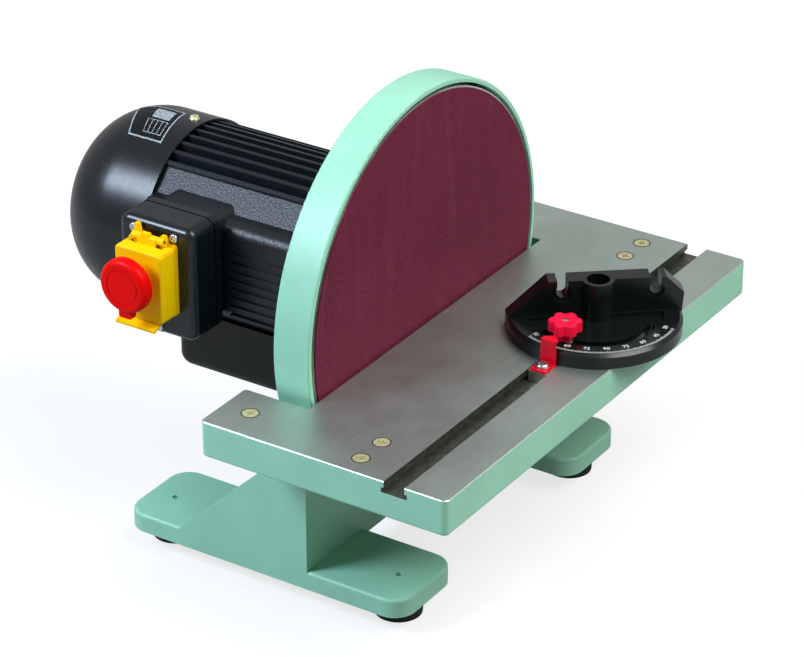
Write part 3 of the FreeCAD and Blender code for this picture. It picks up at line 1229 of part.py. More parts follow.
def switch_plate():
    plate = round_box(SWITCH_PLATE_X, BOX_FACE_X, SWITCH_Y - SWITCH_W / 2, SWITCH_Y + SWITCH_W / 2,
                      SWITCH_Z - SWITCH_H / 2, SWITCH_Z + SWITCH_H / 2, 3, X_AXIS)
    ears = [hinge_ear(SWITCH_Y - HINGE_HALF_L, SWITCH_Y - EAR_IN, 4),
            hinge_ear(SWITCH_Y + EAR_IN, SWITCH_Y + HINGE_HALF_L, 9)]
    tools = [rod(HINGE_R, (HINGE_X, SWITCH_Y - 20, HINGE_Z), 40, Y_AXIS)]
    tools += button_wells(SWITCH_PLATE_X - OVER, 10)
    for y, z in box_screw_places():
        tools.append(rod(BOX_SCREW_HEAD_R + 2 * SLIP, (BOX_FACE_X - 10, y, z), 11, X_AXIS))
    return cut_all(join([plate] + ears), tools)


def lid_hinge_pin():
    return rod(HINGE_R, (HINGE_X, SWITCH_Y - HINGE_HALF_L, HINGE_Z), 2 * HINGE_HALF_L, Y_AXIS)


def switch_lid():
    y0, y1 = SWITCH_Y - SWITCH_W / 2, SWITCH_Y + SWITCH_W / 2
    z0, z1 = SWITCH_Z - SWITCH_H / 2, SWITCH_Z + SWITCH_H / 2 - 1
    shell = round_box(LID_FACE_X, LID_BACK_X, y0, y1, z0, z1, 4, X_AXIS)
    shell = shell.makeFillet(2, [e for e in shell.Edges if e.BoundBox.XMax < LID_FACE_X + 0.01])
    hollow = box(LID_FACE_X + LID_WALL, LID_BACK_X + OVER, y0 + LID_WALL, y1 - LID_WALL,
                 z0 + LID_WALL, z1 - LID_WALL)
    reach = EAR_IN - SLIP
    knuckle = join([rod(HINGE_EAR_R, (HINGE_X, SWITCH_Y - reach, HINGE_Z), 2 * reach, Y_AXIS),
                    box(HINGE_X - HINGE_EAR_R, HINGE_X, SWITCH_Y - reach, SWITCH_Y + reach, z1 - 2, HINGE_Z),
                    box(HINGE_X - HINGE_EAR_R, HINGE_X + 1, SWITCH_Y - 2, SWITCH_Y + 5,
                        z1 - 2, HINGE_Z + 4.5)])
    boss = rod(STEM_R + 4, (LID_FACE_X - LID_BOSS, SWITCH_Y, STOP_Z), LID_BOSS + 2, X_AXIS)
    # A lip slants out from the bottom edge, to lift the lid by.
    lip_y, lip_x = y0 + 3, LID_FACE_X - LID_LIP
    lip = prism([(LID_FACE_X + 4, lip_y, z0 + 1.5), (lip_x, lip_y, z0 - 2.5), (lip_x, lip_y, z0 - 4.5),
                 (LID_FACE_X + 4, lip_y, z0)], Y_AXIS * (SWITCH_W - 6))
    tools = [hollow, rod(HINGE_R + RUN, (HINGE_X, SWITCH_Y - 20, HINGE_Z), 40, Y_AXIS),
             rod(STEM_R + RUN * 2, (LID_FACE_X - LID_BOSS - OVER, SWITCH_Y, STOP_Z), 20, X_AXIS)]
    # The back of the lid is relieved around the fixed knuckles.
    for y in (SWITCH_Y - HINGE_HALF_L - SLIP, SWITCH_Y + EAR_IN - SLIP):
        width = HINGE_HALF_L - EAR_IN + 2 * SLIP
        tools.append(box(HINGE_X - HINGE_EAR_R - 1, LID_BACK_X + OVER, y, y + width, z1 - 3, z1 + 8))
    return cut_all(join([shell, knuckle, boss, lip]), tools)


def stop_mushroom():
    back_x = LID_FACE_X - LID_BOSS - MUSHROOM_GAP
    front_x = back_x - MUSHROOM_T
    head = rod(MUSHROOM_R, (back_x, SWITCH_Y, STOP_Z), MUSHROOM_T, X_AXIS * -1)
    head = head.makeFillet(4.5, [e for e in head.Edges if e.BoundBox.XMax < front_x + 0.1])
    low = STOP_Z - MUSHROOM_R
    tail = box(front_x + 3, back_x, SWITCH_Y - 6, SWITCH_Y + 6, low - 5, low + 6)
    tail = tail.makeFillet(2, edges_along(tail, X_AXIS))
    groove = ring(14.5, 13.5, (front_x - OVER, SWITCH_Y, STOP_Z), OVER + 0.5, X_AXIS)
    stem_end = SWITCH_PLATE_X - BUTTON_OUT - SLIP
    stem = rod(STEM_R, (back_x - 1, SWITCH_Y, STOP_Z), stem_end - back_x + 1, X_AXIS)
    collar = rod(STEM_R + 2.5, (LID_FACE_X + LID_WALL + SLIP, SWITCH_Y, STOP_Z), 2, X_AXIS)
    return join([head, tail, stem, collar]).cut(groove)


def switch_button(z):
    body = rod(BUTTON_R, (SWITCH_PLATE_X - BUTTON_OUT, SWITCH_Y, z), BUTTON_OUT + SWITCH_PLATE_T + 4, X_AXIS)
    return body.makeFillet(1, [e for e in body.Edges if e.BoundBox.XMax < SWITCH_PLATE_X - BUTTON_OUT + 0.1])


PARTS = (
    ("base_casting", base_casting),
    ("rubber_feet", rubber_feet),
    ("disc_housing", disc_housing),
    ("housing_bolts", housing_bolts),
    ("disc_plate", disc_plate),
    ("abrasive_disc", lambda: on_axis(PAPER_R, FACE_Y, PLATE_FRONT_Y)),
    ("hub_set_screws", hub_set_screws),
    ("shaft_key", shaft_key),
    ("motor_shaft", motor_shaft),
    ("rotor_core", rotor_core),
    ("front_bearing_outer", lambda: bearing_outer(FRONT_BEARING_Y)),
    ("front_bearing_inner", lambda: bearing_inner(FRONT_BEARING_Y)),
    ("front_bearing_balls", lambda: bearing_balls(FRONT_BEARING_Y)),
    ("rear_bearing_outer", lambda: bearing_outer(REAR_BEARING_Y)),
    ("rear_bearing_inner", lambda: bearing_inner(REAR_BEARING_Y)),
    ("rear_bearing_balls", lambda: bearing_balls(REAR_BEARING_Y)),
    ("cooling_fan", cooling_fan),
    ("motor_front_bell", motor_front_bell),
    ("motor_flange_bolts", motor_flange_bolts),
    ("motor_frame", motor_frame),
    ("stator_core", stator_core),
    ("stator_windings", stator_windings),
    ("motor_rear_bell", motor_rear_bell),
    ("motor_tie_bolts", motor_tie_bolts),
    ("fan_cover", fan_cover),
    ("fan_cover_screws", fan_cover_screws),
    ("capacitor_box", capacitor_box),
    ("capacitor_box_screws", capacitor_box_screws),
    ("run_capacitor", run_capacitor),
    ("capacitor_clamp", capacitor_clamp),
    ("table", table),
    ("table_screws", table_screws),
    ("trunnion_left", lambda: trunnion(-1)),
    ("trunnion_right", lambda: trunnion(1)),
    ("pivot_screws", pivot_screws),
    ("lock_studs", lock_studs),
    ("lock_washers", lock_washers),
    ("tilt_lock_knob_left", lambda: tilt_lock_knob(-1)),
    ("tilt_lock_knob_right", lambda: tilt_lock_knob(1)),
    ("mitre_bar", mitre_bar),
    ("mitre_head", mitre_head),
    ("mitre_pivot_screw", mitre_pivot_screw),
    ("mitre_lock_stud", mitre_lock_stud),
    ("mitre_lock_washer", mitre_lock_washer),
    ("mitre_lock_knob", mitre_lock_knob),
    ("mitre_pointer", mitre_pointer),
    ("mitre_pointer_screw", mitre_pointer_screw),
    ("switch_box", switch_box),
    ("cable_gland", cable_gland),
    ("switch_box_gasket", switch_box_gasket),
    ("switch_box_cover", switch_box_cover),
    ("switch_box_screws", switch_box_screws),
    ("switch_body", switch_body),
    ("switch_plate", switch_plate),
    ("lid_hinge_pin", lid_hinge_pin),
    ("switch_lid", switch_lid),
    ("stop_mushroom", stop_mushroom),
    ("stop_button", lambda: switch_button(STOP_Z)),
    ("start_button", lambda: switch_button(START_Z)),
)

os.makedirs("parts", exist_ok=True)
for node, make in PARTS:
    shape = make()
    shape.exportStep("parts/" + node + ".step")
    print(node, len(shape.Solids), round(shape.Volume), shape.isValid())
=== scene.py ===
import json
import math

import bmesh
import bpy
from mathutils import Matrix, Vector
from mathutils.bvhtree import BVHTree


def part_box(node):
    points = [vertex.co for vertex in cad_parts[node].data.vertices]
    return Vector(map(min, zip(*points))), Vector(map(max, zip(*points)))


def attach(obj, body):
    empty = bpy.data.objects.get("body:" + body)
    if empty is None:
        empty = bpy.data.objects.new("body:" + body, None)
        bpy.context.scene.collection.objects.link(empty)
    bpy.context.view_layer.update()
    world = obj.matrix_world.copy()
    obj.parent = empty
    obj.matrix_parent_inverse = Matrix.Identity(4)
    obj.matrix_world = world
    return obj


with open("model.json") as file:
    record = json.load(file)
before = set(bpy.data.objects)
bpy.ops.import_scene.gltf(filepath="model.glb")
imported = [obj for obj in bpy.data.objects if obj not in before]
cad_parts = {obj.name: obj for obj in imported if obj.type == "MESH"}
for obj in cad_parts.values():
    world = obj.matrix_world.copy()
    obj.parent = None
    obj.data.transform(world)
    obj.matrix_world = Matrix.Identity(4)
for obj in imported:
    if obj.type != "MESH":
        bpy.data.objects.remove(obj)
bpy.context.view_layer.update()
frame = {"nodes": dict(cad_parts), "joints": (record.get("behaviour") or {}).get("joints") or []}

bl_info = {
    "name": "Benchtop Disc Sander Finishes",
    "version": (1, 0, 0),
    "blender": (4, 5, 0),
    "location": "3D View > Sidebar > Sander",
    "description": "Gives a benchtop disc sander its finishes, scale, label, lights and camera",
    "category": "Object",
}

MM = 0.001

# Finishes
NOISE_LOW, NOISE_HIGH = 0.3, 0.7    # noise seldom leaves this range
LATHE_STRETCH = 0.05        # turned metal's tone changes this much slower across its axis

# Work table
TABLE_CHAMFER = 0.7 * MM    # bevel round the top, ground with it
SLOT_MARGIN = 4.0 * MM      # the slot's faces lie no further than this beyond the bar's sides
SLOT_BELOW_BAR = 1.0 * MM   # nor further than this under it
UNDER_TOP = 0.01 * MM       # a face lower than this isn't part of the top
WALL_NORMAL = 0.9           # a face whose normal lies this much along an axis is a wall

# Painted shade round the table's screws: a dark ring over the gap at each countersink's edge
SCREW_SPACING = 5.0 * MM    # vertices nearer than this belong to one screw's head
SCREW_RIM_DEPTH = 1.0 * MM  # vertices nearer the top than this belong to a head's rim
SHADE_RING_REACH = (-0.2, 0.7)   # its inner and outer edge beyond the rim, in millimetres
SHADE_RING_HEIGHT = (0.04, 0.1)  # its underside and top above the table, in millimetres
RING_SIDES = 48

# Mitre scale
HEAD_THICKNESS = 12.0 * MM
PRINT_LIFT = 0.1 * MM       # printed ink stands this proud, so that it never shares a face
SCALE_RADIUS = 64.4 * MM    # outer ends of the scale's lines
SCALE_RANGE = 60            # degrees to each side of the middle
MIDDLE_READING = 90         # what the scale reads at its middle
FIVE_STEP = 5
FIVE_TICK = 1.3             # a line at each five degrees, as a share of a whole-degree line
NUMERAL_STEP = 15
NUMERAL_TICK = 1.6          # a line at a number
NUMERAL_RADIUS = 57.4 * MM
NUMERAL_FONT = 1.35         # font size over the height of its digits
NUMERAL_CURVE = 3           # segments to a curve
MERGE_DISTANCE = 1e-6
STORED_SWIVEL = math.radians(39.1)  # how far the head is swivelled at rest

# Rating label: at its left and its right edge, the angle from upright in degrees, and where the
# edge starts and ends along the cover in millimetres
LABEL_LOW = (-24.0, 178.0, 210.0)
LABEL_HIGH = (10.0, 187.0, 232.0)
PATCH_STEPS = 10            # squares along each side of a field
FILM_LIFT = 0.15 * MM
RULING_LIFT = 0.25 * MM
# Its ruling, as shares of the label from left to right and from front to back
LABEL_LINE = 0.035          # width of the border, and twice that of a thin line
TABLE_LINES_ACROSS = (0.14, 0.48)
TABLE_LINES_END = 0.49
TABLE_LINES_ALONG = (0.12, 0.24, 0.36, 0.48, 0.60)
LABEL_PANEL = (0.56, 0.88, 0.14, 0.56)

# Stage
WHITE = (1.0, 1.0, 1.0, 1.0)
LAMP_AIM = (0.0, 0.0, 0.15)
KEY_PLACE, KEY_SIZE, KEY_COLOUR = (-1.28, 1.05, 1.40), 0.7, "#D6E8FF"
TOP_PLACE, TOP_SIZE, TOP_COLOUR = (0.15, -1.38, 2.08), 1.5, "#FFFFFF"
SENSOR_WIDTH = 36.0         # millimetres
CLIP_END = 50.0
FLOOR_HALF = 6.0
FLOOR_SQUARES = 8
FLOOR_LIFT = 0.74           # how much of white the near floor adds to its shading, to the camera
FLOOR_GLOSS = 0.30          # and in a reflection
FLOOR_NEAR = 0.7            # the lift rises to full white between these distances from the middle
FLOOR_FAR = 2.2
GLOSS_LEVEL = 0.50          # brightness of the surroundings in a reflection


def linear(hex_colour):
    """An sRGB hex colour as linear red, green, blue and alpha, by the sRGB standard's curve."""
    parts = [int(hex_colour[i:i + 2], 16) / 255 for i in (1, 3, 5)]
    return tuple(p / 12.92 if p <= 0.04045 else ((p + 0.055) / 1.055) ** 2.4 for p in parts) + (1.0,)


def colour_property(name, description, hex_colour):
    return bpy.props.FloatVectorProperty(
        name=name, description=description, subtype="COLOR", size=4, min=0.0, max=1.0,
        default=linear(hex_colour))


def length_property(name, description, millimetres):
    return bpy.props.FloatProperty(
        name=name, description=description, unit="LENGTH", min=0.0, default=millimetres * MM)


# ---- Settings --------------------------------------------------------------

class SanderColours(bpy.types.PropertyGroup):
    """Colours that a user would change."""
    enamel: colour_property("Enamel", "Green enamel on the castings and the table's skirt", "#97D2B4")
    table: colour_property("Table", "Ground iron of the table's top", "#B9C6BE")
    abrasive: colour_property("Abrasive", "Grit of the sanding disc", "#651F36")
    motor: colour_property("Motor", "Enamel on the motor's castings", "#0B1419")
    cover: colour_property("Fan cover", "Enamel on the pressed fan cover", "#0B1014")
    switch: colour_property("Switch", "Plastic of the switch's plate and lid", "#FFC504")
    stop: colour_property("Stop", "Plastic of the stop mushroom", "#EA0200")
    start: colour_property("Start", "Plastic of the start button", "#13803A")
    knob: colour_property("Knob", "Plastic of the mitre gauge's knob", "#FF1242")
    pointer: colour_property("Pointer", "Paint on the mitre gauge's pointer", "#DE0426")
    marking: colour_property("Marking", "Ink of the mitre scale's lines and numbers", "#E6E8E4")


class SanderSizes(bpy.types.PropertyGroup):
    """Sizes of what is marked on the sander, and of its surface textures."""
    numeral: length_property("Numeral height", "Height of the numbers on the mitre scale", 4.0)
    tick: length_property("Tick length", "Length of a whole-degree line on the mitre scale", 2.0)
    tick_width: length_property("Tick width", "Width of a line on the mitre scale", 0.34)
    grit: length_property("Grit", "Spacing of the abrasive's visible grains", 0.9)
    grinding: length_property("Grinding", "Spacing of the grinding lines on the table", 0.7)


class SanderView(bpy.types.PropertyGroup):
    """Camera and lamps."""
    azimuth: bpy.props.FloatProperty(
        name="Azimuth", description="Camera's direction round the sander", subtype="ANGLE",
        default=math.radians(-57.07))
    elevation: bpy.props.FloatProperty(
        name="Elevation", description="Camera's height above the horizon", subtype="ANGLE",
        default=math.radians(28.09))
    distance: bpy.props.FloatProperty(
        name="Distance", description="Camera to what it looks at", unit="LENGTH", default=2.6)
    focal_length: bpy.props.FloatProperty(
        name="Focal length", description="Camera's focal length on a 36 mm sensor, in millimetres",
        default=153.35)
    target: bpy.props.FloatVectorProperty(
        name="Target", description="Point that the camera looks at", subtype="XYZ", unit="LENGTH",
        default=(-0.0381, -0.0495, 0.1856))
    key_power: bpy.props.FloatProperty(
        name="Key power", description="Power of the softbox above and behind on the left",
        unit="POWER", default=44.0)
    top_power: bpy.props.FloatProperty(
        name="Top power", description="Power of the large lamp above and in front",
        unit="POWER", default=56.0)
    ambient: bpy.props.FloatProperty(
        name="Ambient", description="Brightness of the surroundings on the object",
        min=0.0, default=0.20)


# ---- Tools for materials and meshes ------------------------------------------

MIX_FACTOR, MIX_A, MIX_B, MIX_RESULT = 0, 6, 7, 2   # a mix node's colour sockets


def per_mm(size_mm):
    """Texture scale at which one feature is so many millimetres."""
    return 1.0 / (size_mm * MM)


def add_node(material, kind, inputs=None, **settings):
    """Adds a shader node, gives it its settings, and links or sets its inputs."""
    node = material.node_tree.nodes.new(kind)
    for name, value in settings.items():
        setattr(node, name, value)
    for key, value in (inputs or {}).items():
        if isinstance(value, bpy.types.NodeSocket):
            material.node_tree.links.new(value, node.inputs[key])
        else:
            node.inputs[key].default_value = value
    return node


def blank_material(name):
    """A material with an empty tree, its own principled shader and the object's coordinates."""
    material = bpy.data.materials.new(name)
    material.use_nodes = True
    material.node_tree.nodes.clear()
    shader = add_node(material, "ShaderNodeBsdfPrincipled")
    add_node(material, "ShaderNodeOutputMaterial", {"Surface": shader.outputs["BSDF"]})
    place = add_node(material, "ShaderNodeTexCoord").outputs["Object"]
    return material, shader, place


def noise(material, place, size_mm, detail=2.0, roughness=0.5, stretch=None):
    """Seeded noise with features of a real size, drawn out along an axis if asked."""
    if stretch:
        mapping = add_node(material, "ShaderNodeMapping", {"Vector": place, "Scale": stretch})
        place = mapping.outputs[0]
    return add_node(material, "ShaderNodeTexNoise", {
        "Vector": place, "Scale": per_mm(size_mm), "Detail": detail, "Roughness": roughness,
    }).outputs["Fac"]


def between(material, value, low, high, to_low, to_high):
    """A value moved from one range to another, and held inside it."""
    return add_node(material, "ShaderNodeMapRange", {
        "Value": value, "From Min": low, "From Max": high, "To Min": to_low, "To Max": to_high,
    }).outputs["Result"]


def spread(material, value, to_low=0.0, to_high=1.0):
    """Noise over the whole of a range."""
    return between(material, value, NOISE_LOW, NOISE_HIGH, to_low, to_high)


def mixed(material, factor, first, second):
    """One colour going over into another by a factor."""
    return add_node(material, "ShaderNodeMix", {
        MIX_FACTOR: factor, MIX_A: first, MIX_B: second}, data_type="RGBA").outputs[MIX_RESULT]


def relief(material, height, depth_mm, under=None):
    """Bump of a real depth, on top of another bump if one is given."""
    inputs = {"Height": height, "Strength": 1.0, "Distance": depth_mm * MM}
    if under is not None:
        inputs["Normal"] = under
    return add_node(material, "ShaderNodeBump", inputs).outputs["Normal"]


def link(material, output, shader, name):
    """Feeds an output into one of a shader's inputs."""
    material.node_tree.links.new(output, shader.inputs[name])


def ray_kinds(material):
    """Two factors: 1 for a ray that sees the surface directly, and 1 for one in a reflection."""
    path = add_node(material, "ShaderNodeLightPath")
    seen = add_node(material, "ShaderNodeMath", {
        0: path.outputs["Is Camera Ray"], 1: path.outputs["Is Transmission Ray"],
    }, operation="MAXIMUM")
    return seen.outputs[0], path.outputs["Is Glossy Ray"]


def shade(colour, amount):
    """A colour made darker, below 1, or lighter, above 1."""
    return tuple(min(1.0, c * amount) for c in colour[:3]) + (1.0,)


def coated(name, colour, tone, patch_mm, rough, grain_mm, depth_mm, metallic=0.0, **sockets):
    """A finish of one colour that drifts by a tone over patches, with a grain in its skin."""
    material, shader, place = blank_material(name)
    drift = spread(material, noise(material, place, patch_mm, detail=3.0))
    base = mixed(material, drift, shade(colour, 1.0 - tone), shade(colour, 1.0 + tone))
    link(material, base, shader, "Base Color")
    grain = noise(material, place, grain_mm, detail=3.0, roughness=0.6)
    link(material, spread(material, grain, *rough), shader, "Roughness")
    link(material, relief(material, grain, depth_mm), shader, "Normal")
    shader.inputs["Metallic"].default_value = metallic
    for socket, value in sockets.items():
        shader.inputs[socket.replace("_", " ")].default_value = value
    return material


def coat(material, *nodes):
    """Gives whole CAD nodes one material."""
    for name in nodes:
        mesh = frame["nodes"][name].data
        mesh.materials.clear()
        mesh.materials.append(material)


def coat_faces(node, materials, choose):
    """Gives a CAD node several materials, chosen face by face."""
    mesh = frame["nodes"][node].data
    mesh.materials.clear()
    for material in materials:
        mesh.materials.append(material)
    for face in mesh.polygons:
        face.material_index = choose(face)


def new_piece(name, bm, material, body):
    """Makes an object from a bmesh in the row frame and puts it on its body."""
    mesh = bpy.data.meshes.new(name)
    bm.normal_update()
    bm.to_mesh(mesh)
    bm.free()
    mesh.materials.append(material)
    piece = bpy.data.objects.new(name, mesh)
    bpy.context.scene.collection.objects.link(piece)
    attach(piece, body)
    return piece


def joint(name):
    """A joint's entry in the frame."""
    return next(j for j in frame["joints"] if j["name"] == name)


# ---- Finishes ----------------------------------------------------------------

def cast_iron_enamel(colour):
    # Alkyd enamel sprayed on sand-cast iron: an even half gloss whose highlights waver over
    # the casting's slightly lumpy skin.
    material, shader, place = blank_material("cast_iron_gloss_enamel")
    drift = spread(material, noise(material, place, 55.0, detail=3.0))
    base = mixed(material, drift, shade(colour, 0.94), shade(colour, 1.05))
    link(material, base, shader, "Base Color")
    skin = noise(material, place, 9.0, detail=2.0)
    peel = noise(material, place, 1.6, detail=2.0)
    link(material, spread(material, peel, 0.40, 0.50), shader, "Roughness")
    link(material, relief(material, peel, 0.012, relief(material, skin, 0.14)), shader, "Normal")
    return material


def ground_iron(colour, spacing):
    # Surface-ground grey iron: fine lighter lines along the wheel's travel, with faint darker
    # clouds where it has been oiled.
    material, shader, place = blank_material("ground_grey_iron")
    lines = noise(material, place, spacing / MM, detail=3.0, stretch=(0.03, 1.0, 1.0))
    cloud = between(material, noise(material, place, 70.0, detail=4.0), 0.35, 0.65, 0.0, 1.0)
    tint = mixed(material, cloud, shade(colour, 0.90), shade(colour, 1.02))
    scratch = between(material, lines, 0.35, 0.65, 0.0, 0.35)
    link(material, mixed(material, scratch, tint, shade(colour, 1.25)), shader, "Base Color")
    rough = noise(material, place, 28.0, detail=4.0)
    link(material, spread(material, rough, 0.44, 0.48), shader, "Roughness")
    link(material, relief(material, lines, 0.01), shader, "Normal")
    shader.inputs["Metallic"].default_value = 1.0
    return material


def abrasive_cloth(colour, spacing):
    # Aluminium oxide grit glued on cloth: matt, maroon, with brighter and darker grains and
    # faint pale streaks of dust. The grains are drawn larger than real 80 grit, which would be
    # too fine to show.
    material, shader, place = blank_material("aluminium_oxide_cloth")
    grain = noise(material, place, spacing / MM, detail=2.0, roughness=0.7)
    bright = between(material, grain, 0.56, 0.72, 0.0, 1.0)
    dark = between(material, grain, 0.28, 0.44, 1.0, 0.0)
    cloud = spread(material, noise(material, place, 60.0, detail=4.0))
    base = mixed(material, cloud, shade(colour, 0.88), shade(colour, 1.10))
    base = mixed(material, dark, base, shade(colour, 0.45))
    base = mixed(material, bright, base, shade(colour, 1.8))
    streak = noise(material, place, 12.0, detail=3.0, stretch=(1.0, 1.0, 0.12))
    dust = between(material, streak, 0.55, 0.75, 0.0, 0.12)
    base = mixed(material, dust, base, linear("#8C5A68"))
    link(material, base, shader, "Base Color")
    link(material, relief(material, grain, 0.25), shader, "Normal")
    shader.inputs["Roughness"].default_value = 0.85
    shader.inputs["Specular IOR Level"].default_value = 0.2
    return material


def turned_metal(name, colour, rough, ring_mm, axis):
    # Lathe-turned metal: fine rings about its axis that stretch each highlight.
    material, shader, place = blank_material(name)
    stretch = tuple(1.0 if letter == axis else LATHE_STRETCH for letter in "XYZ")
    rings = noise(material, place, ring_mm, detail=2.0, stretch=stretch)
    base = mixed(material, spread(material, rings), shade(colour, 0.88), shade(colour, 1.08))
    link(material, base, shader, "Base Color")
    link(material, spread(material, rings, *rough), shader, "Roughness")
    link(material, relief(material, rings, 0.01), shader, "Normal")
    shader.inputs["Metallic"].default_value = 1.0
    return material


# ---- Operators ---------------------------------------------------------------

class SANDER_OT_castings(bpy.types.Operator):
    """Enamels the base, the disc housing and the table's trunnions"""
    bl_idname = "sander.castings"
    bl_label = "Castings"

    def execute(self, context):
        enamel = cast_iron_enamel(context.scene.sander_colours.enamel)
        coat(enamel, "base_casting", "disc_housing", "trunnion_left", "trunnion_right")
        return {"FINISHED"}


class SANDER_OT_table(bpy.types.Operator):
    """Grinds the table's top, gives its slot and screw holes milled iron and enamels its skirt"""
    bl_idname = "sander.table"
    bl_label = "Work table"

    def execute(self, context):
        scene = context.scene
        enamel = bpy.data.materials["cast_iron_gloss_enamel"]
        ground = ground_iron(scene.sander_colours.table, scene.sander_sizes.grinding)
        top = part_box("table")[1].z
        bar_low, bar_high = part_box("mitre_bar")
        slot_y = (bar_low.y + bar_high.y) / 2
        slot_half = (bar_high.y - bar_low.y) / 2 + SLOT_MARGIN
        screw_low, screw_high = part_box("table_screws")
        # Milled grey iron that was never ground, dark with oil and swarf.
        oiled = coated("oiled_milled_iron", linear("#6B6F66"), 0.25, 5.0, (0.38, 0.55), 0.8, 0.03,
                       metallic=1.0)
        skirt, surface, recess = range(3)

        def choose(face):
            place, normal = face.center, face.normal
            at_top = place.z > top - TABLE_CHAMFER
            if at_top and abs(normal.x) + abs(normal.y) < WALL_NORMAL:
                return surface
            in_slot = (abs(place.y - slot_y) < slot_half and place.z > bar_low.z - SLOT_BELOW_BAR
                       and abs(normal.x) < WALL_NORMAL)
            in_hole = (place.z > screw_low.z and screw_low.x < place.x < screw_high.x
                       and screw_low.y < place.y < screw_high.y)
            if place.z < top - UNDER_TOP and (in_hole or in_slot):
                return recess
            return surface if at_top else skirt

        coat_faces("table", (enamel, ground, oiled), choose)
        self.countersinks(top)
        return {"FINISHED"}

    def countersinks(self, top):
        """Lays a low ring of painted shade round each screw's head. The heads are told apart by their
        gaps.
        """
        # Painted shade in the gap round each screw's head, standing in for the shadow in the
        # countersink's open edge: near black, and dull.
        painted_shade = coated("painted_countersink_shade", linear("#23261E"), 0.2, 2.0, (0.5, 0.65), 0.5, 0.02)
        heads = []
        for vertex in frame["nodes"]["table_screws"].data.vertices:
            if vertex.co.z > top - SCREW_RIM_DEPTH:
                spot = Vector(vertex.co[:2])
                near = [h for h in heads if any((p - spot).length < SCREW_SPACING for p in h)]
                heads = [h for h in heads if h not in near]
                heads.append(sum(near, [spot]))
        inner, outer = SHADE_RING_REACH
        low, high = SHADE_RING_HEIGHT
        section = ((inner, low), (outer, low), (outer, high), (inner, high))
        bm = bmesh.new()
        for spots in heads:
            middle = Vector([(min(p[i] for p in spots) + max(p[i] for p in spots)) / 2
                             for i in (0, 1)])
            radius = max((p - middle).length for p in spots)
            rings = []
            for reach, height in section:
                rings.append([bm.verts.new((
                    middle.x + (radius + reach * MM) * math.cos(2 * math.pi * k / RING_SIDES),
                    middle.y + (radius + reach * MM) * math.sin(2 * math.pi * k / RING_SIDES),
                    top + height * MM)) for k in range(RING_SIDES)])
            for first, second in zip(rings, rings[1:] + rings[:1]):
                for k in range(RING_SIDES):
                    after = (k + 1) % RING_SIDES
                    bm.faces.new((first[k], first[after], second[after], second[k]))
        bmesh.ops.recalc_face_normals(bm, faces=bm.faces)
        new_piece("countersink_edges", bm, painted_shade, "tilting_table")


class SANDER_OT_disc(bpy.types.Operator):
    """Makes the abrasive disc's cloth and the turned plate behind it"""
    bl_idname = "sander.disc"
    bl_label = "Disc"

    def execute(self, context):
        scene = context.scene
        cloth = abrasive_cloth(scene.sander_colours.abrasive, scene.sander_sizes.grit)
        coat(cloth, "abrasive_disc")
        plate = turned_metal("turned_aluminium", linear("#DADCDA"), (0.34, 0.46), 0.8, "Y")
        coat(plate, "disc_plate")
        return {"FINISHED"}


class SANDER_OT_motor(bpy.types.Operator):
    """Finishes the motor's castings, its fan cover and the capacitor box"""
    bl_idname = "sander.motor"
    bl_label = "Motor"

    def execute(self, context):
        colours = context.scene.sander_colours
        # Black enamel on die-cast aluminium: half gloss, with the casting's grain showing as
        # a speckle on the flat pads.
        cast = coated("die_cast_black_enamel", colours.motor, 0.12, 30.0, (0.30, 0.46), 1.7,
                      0.26, Specular_IOR_Level=0.42)
        coat(cast, "motor_frame", "motor_front_bell", "motor_rear_bell")
        # Black enamel on pressed steel: smooth, so that it mirrors the room in one soft band.
        pressed = coated("pressed_steel_black_enamel", colours.cover, 0.05, 80.0, (0.26, 0.31),
                         2.2, 0.01, Specular_IOR_Level=0.40)
        coat(pressed, "fan_cover")
        # Glass-filled nylon, moulded: darker and duller than the enamel.
        nylon = coated("moulded_black_nylon", linear("#090D0B"), 0.06, 40.0, (0.40, 0.50), 0.8,
                       0.015, Specular_IOR_Level=0.3)
        coat(nylon, "capacitor_box", "cooling_fan", "cable_gland")
        return {"FINISHED"}


class SANDER_OT_switch(bpy.types.Operator):
    """Moulds the switch box, its plate, lid, mushroom and buttons"""
    bl_idname = "sander.switch"
    bl_label = "Switch"

    def execute(self, context):
        colours = context.scene.sander_colours
        # Compression-moulded black phenolic: a soft even sheen.
        box_black = coated("moulded_black_phenolic", linear("#0A1115"), 0.05, 50.0, (0.22, 0.30),
                           1.5, 0.008, Specular_IOR_Level=0.45)
        coat(box_black, "switch_box", "switch_box_cover", "switch_body")
        # Injection-moulded ABS: half gloss, with a weak highlight that leaves its colour full.
        plastics = (("yellow", colours.switch, ("switch_plate", "switch_lid")),
                    ("red", colours.stop, ("stop_mushroom", "stop_button")),
                    ("green", colours.start, ("start_button",)))
        for name, colour, nodes in plastics:
            abs_plastic = coated(f"moulded_{name}_abs", colour, 0.03, 30.0, (0.36, 0.44), 1.2,
                                 0.006, Specular_IOR_Level=0.10)
            coat(abs_plastic, *nodes)
        return {"FINISHED"}


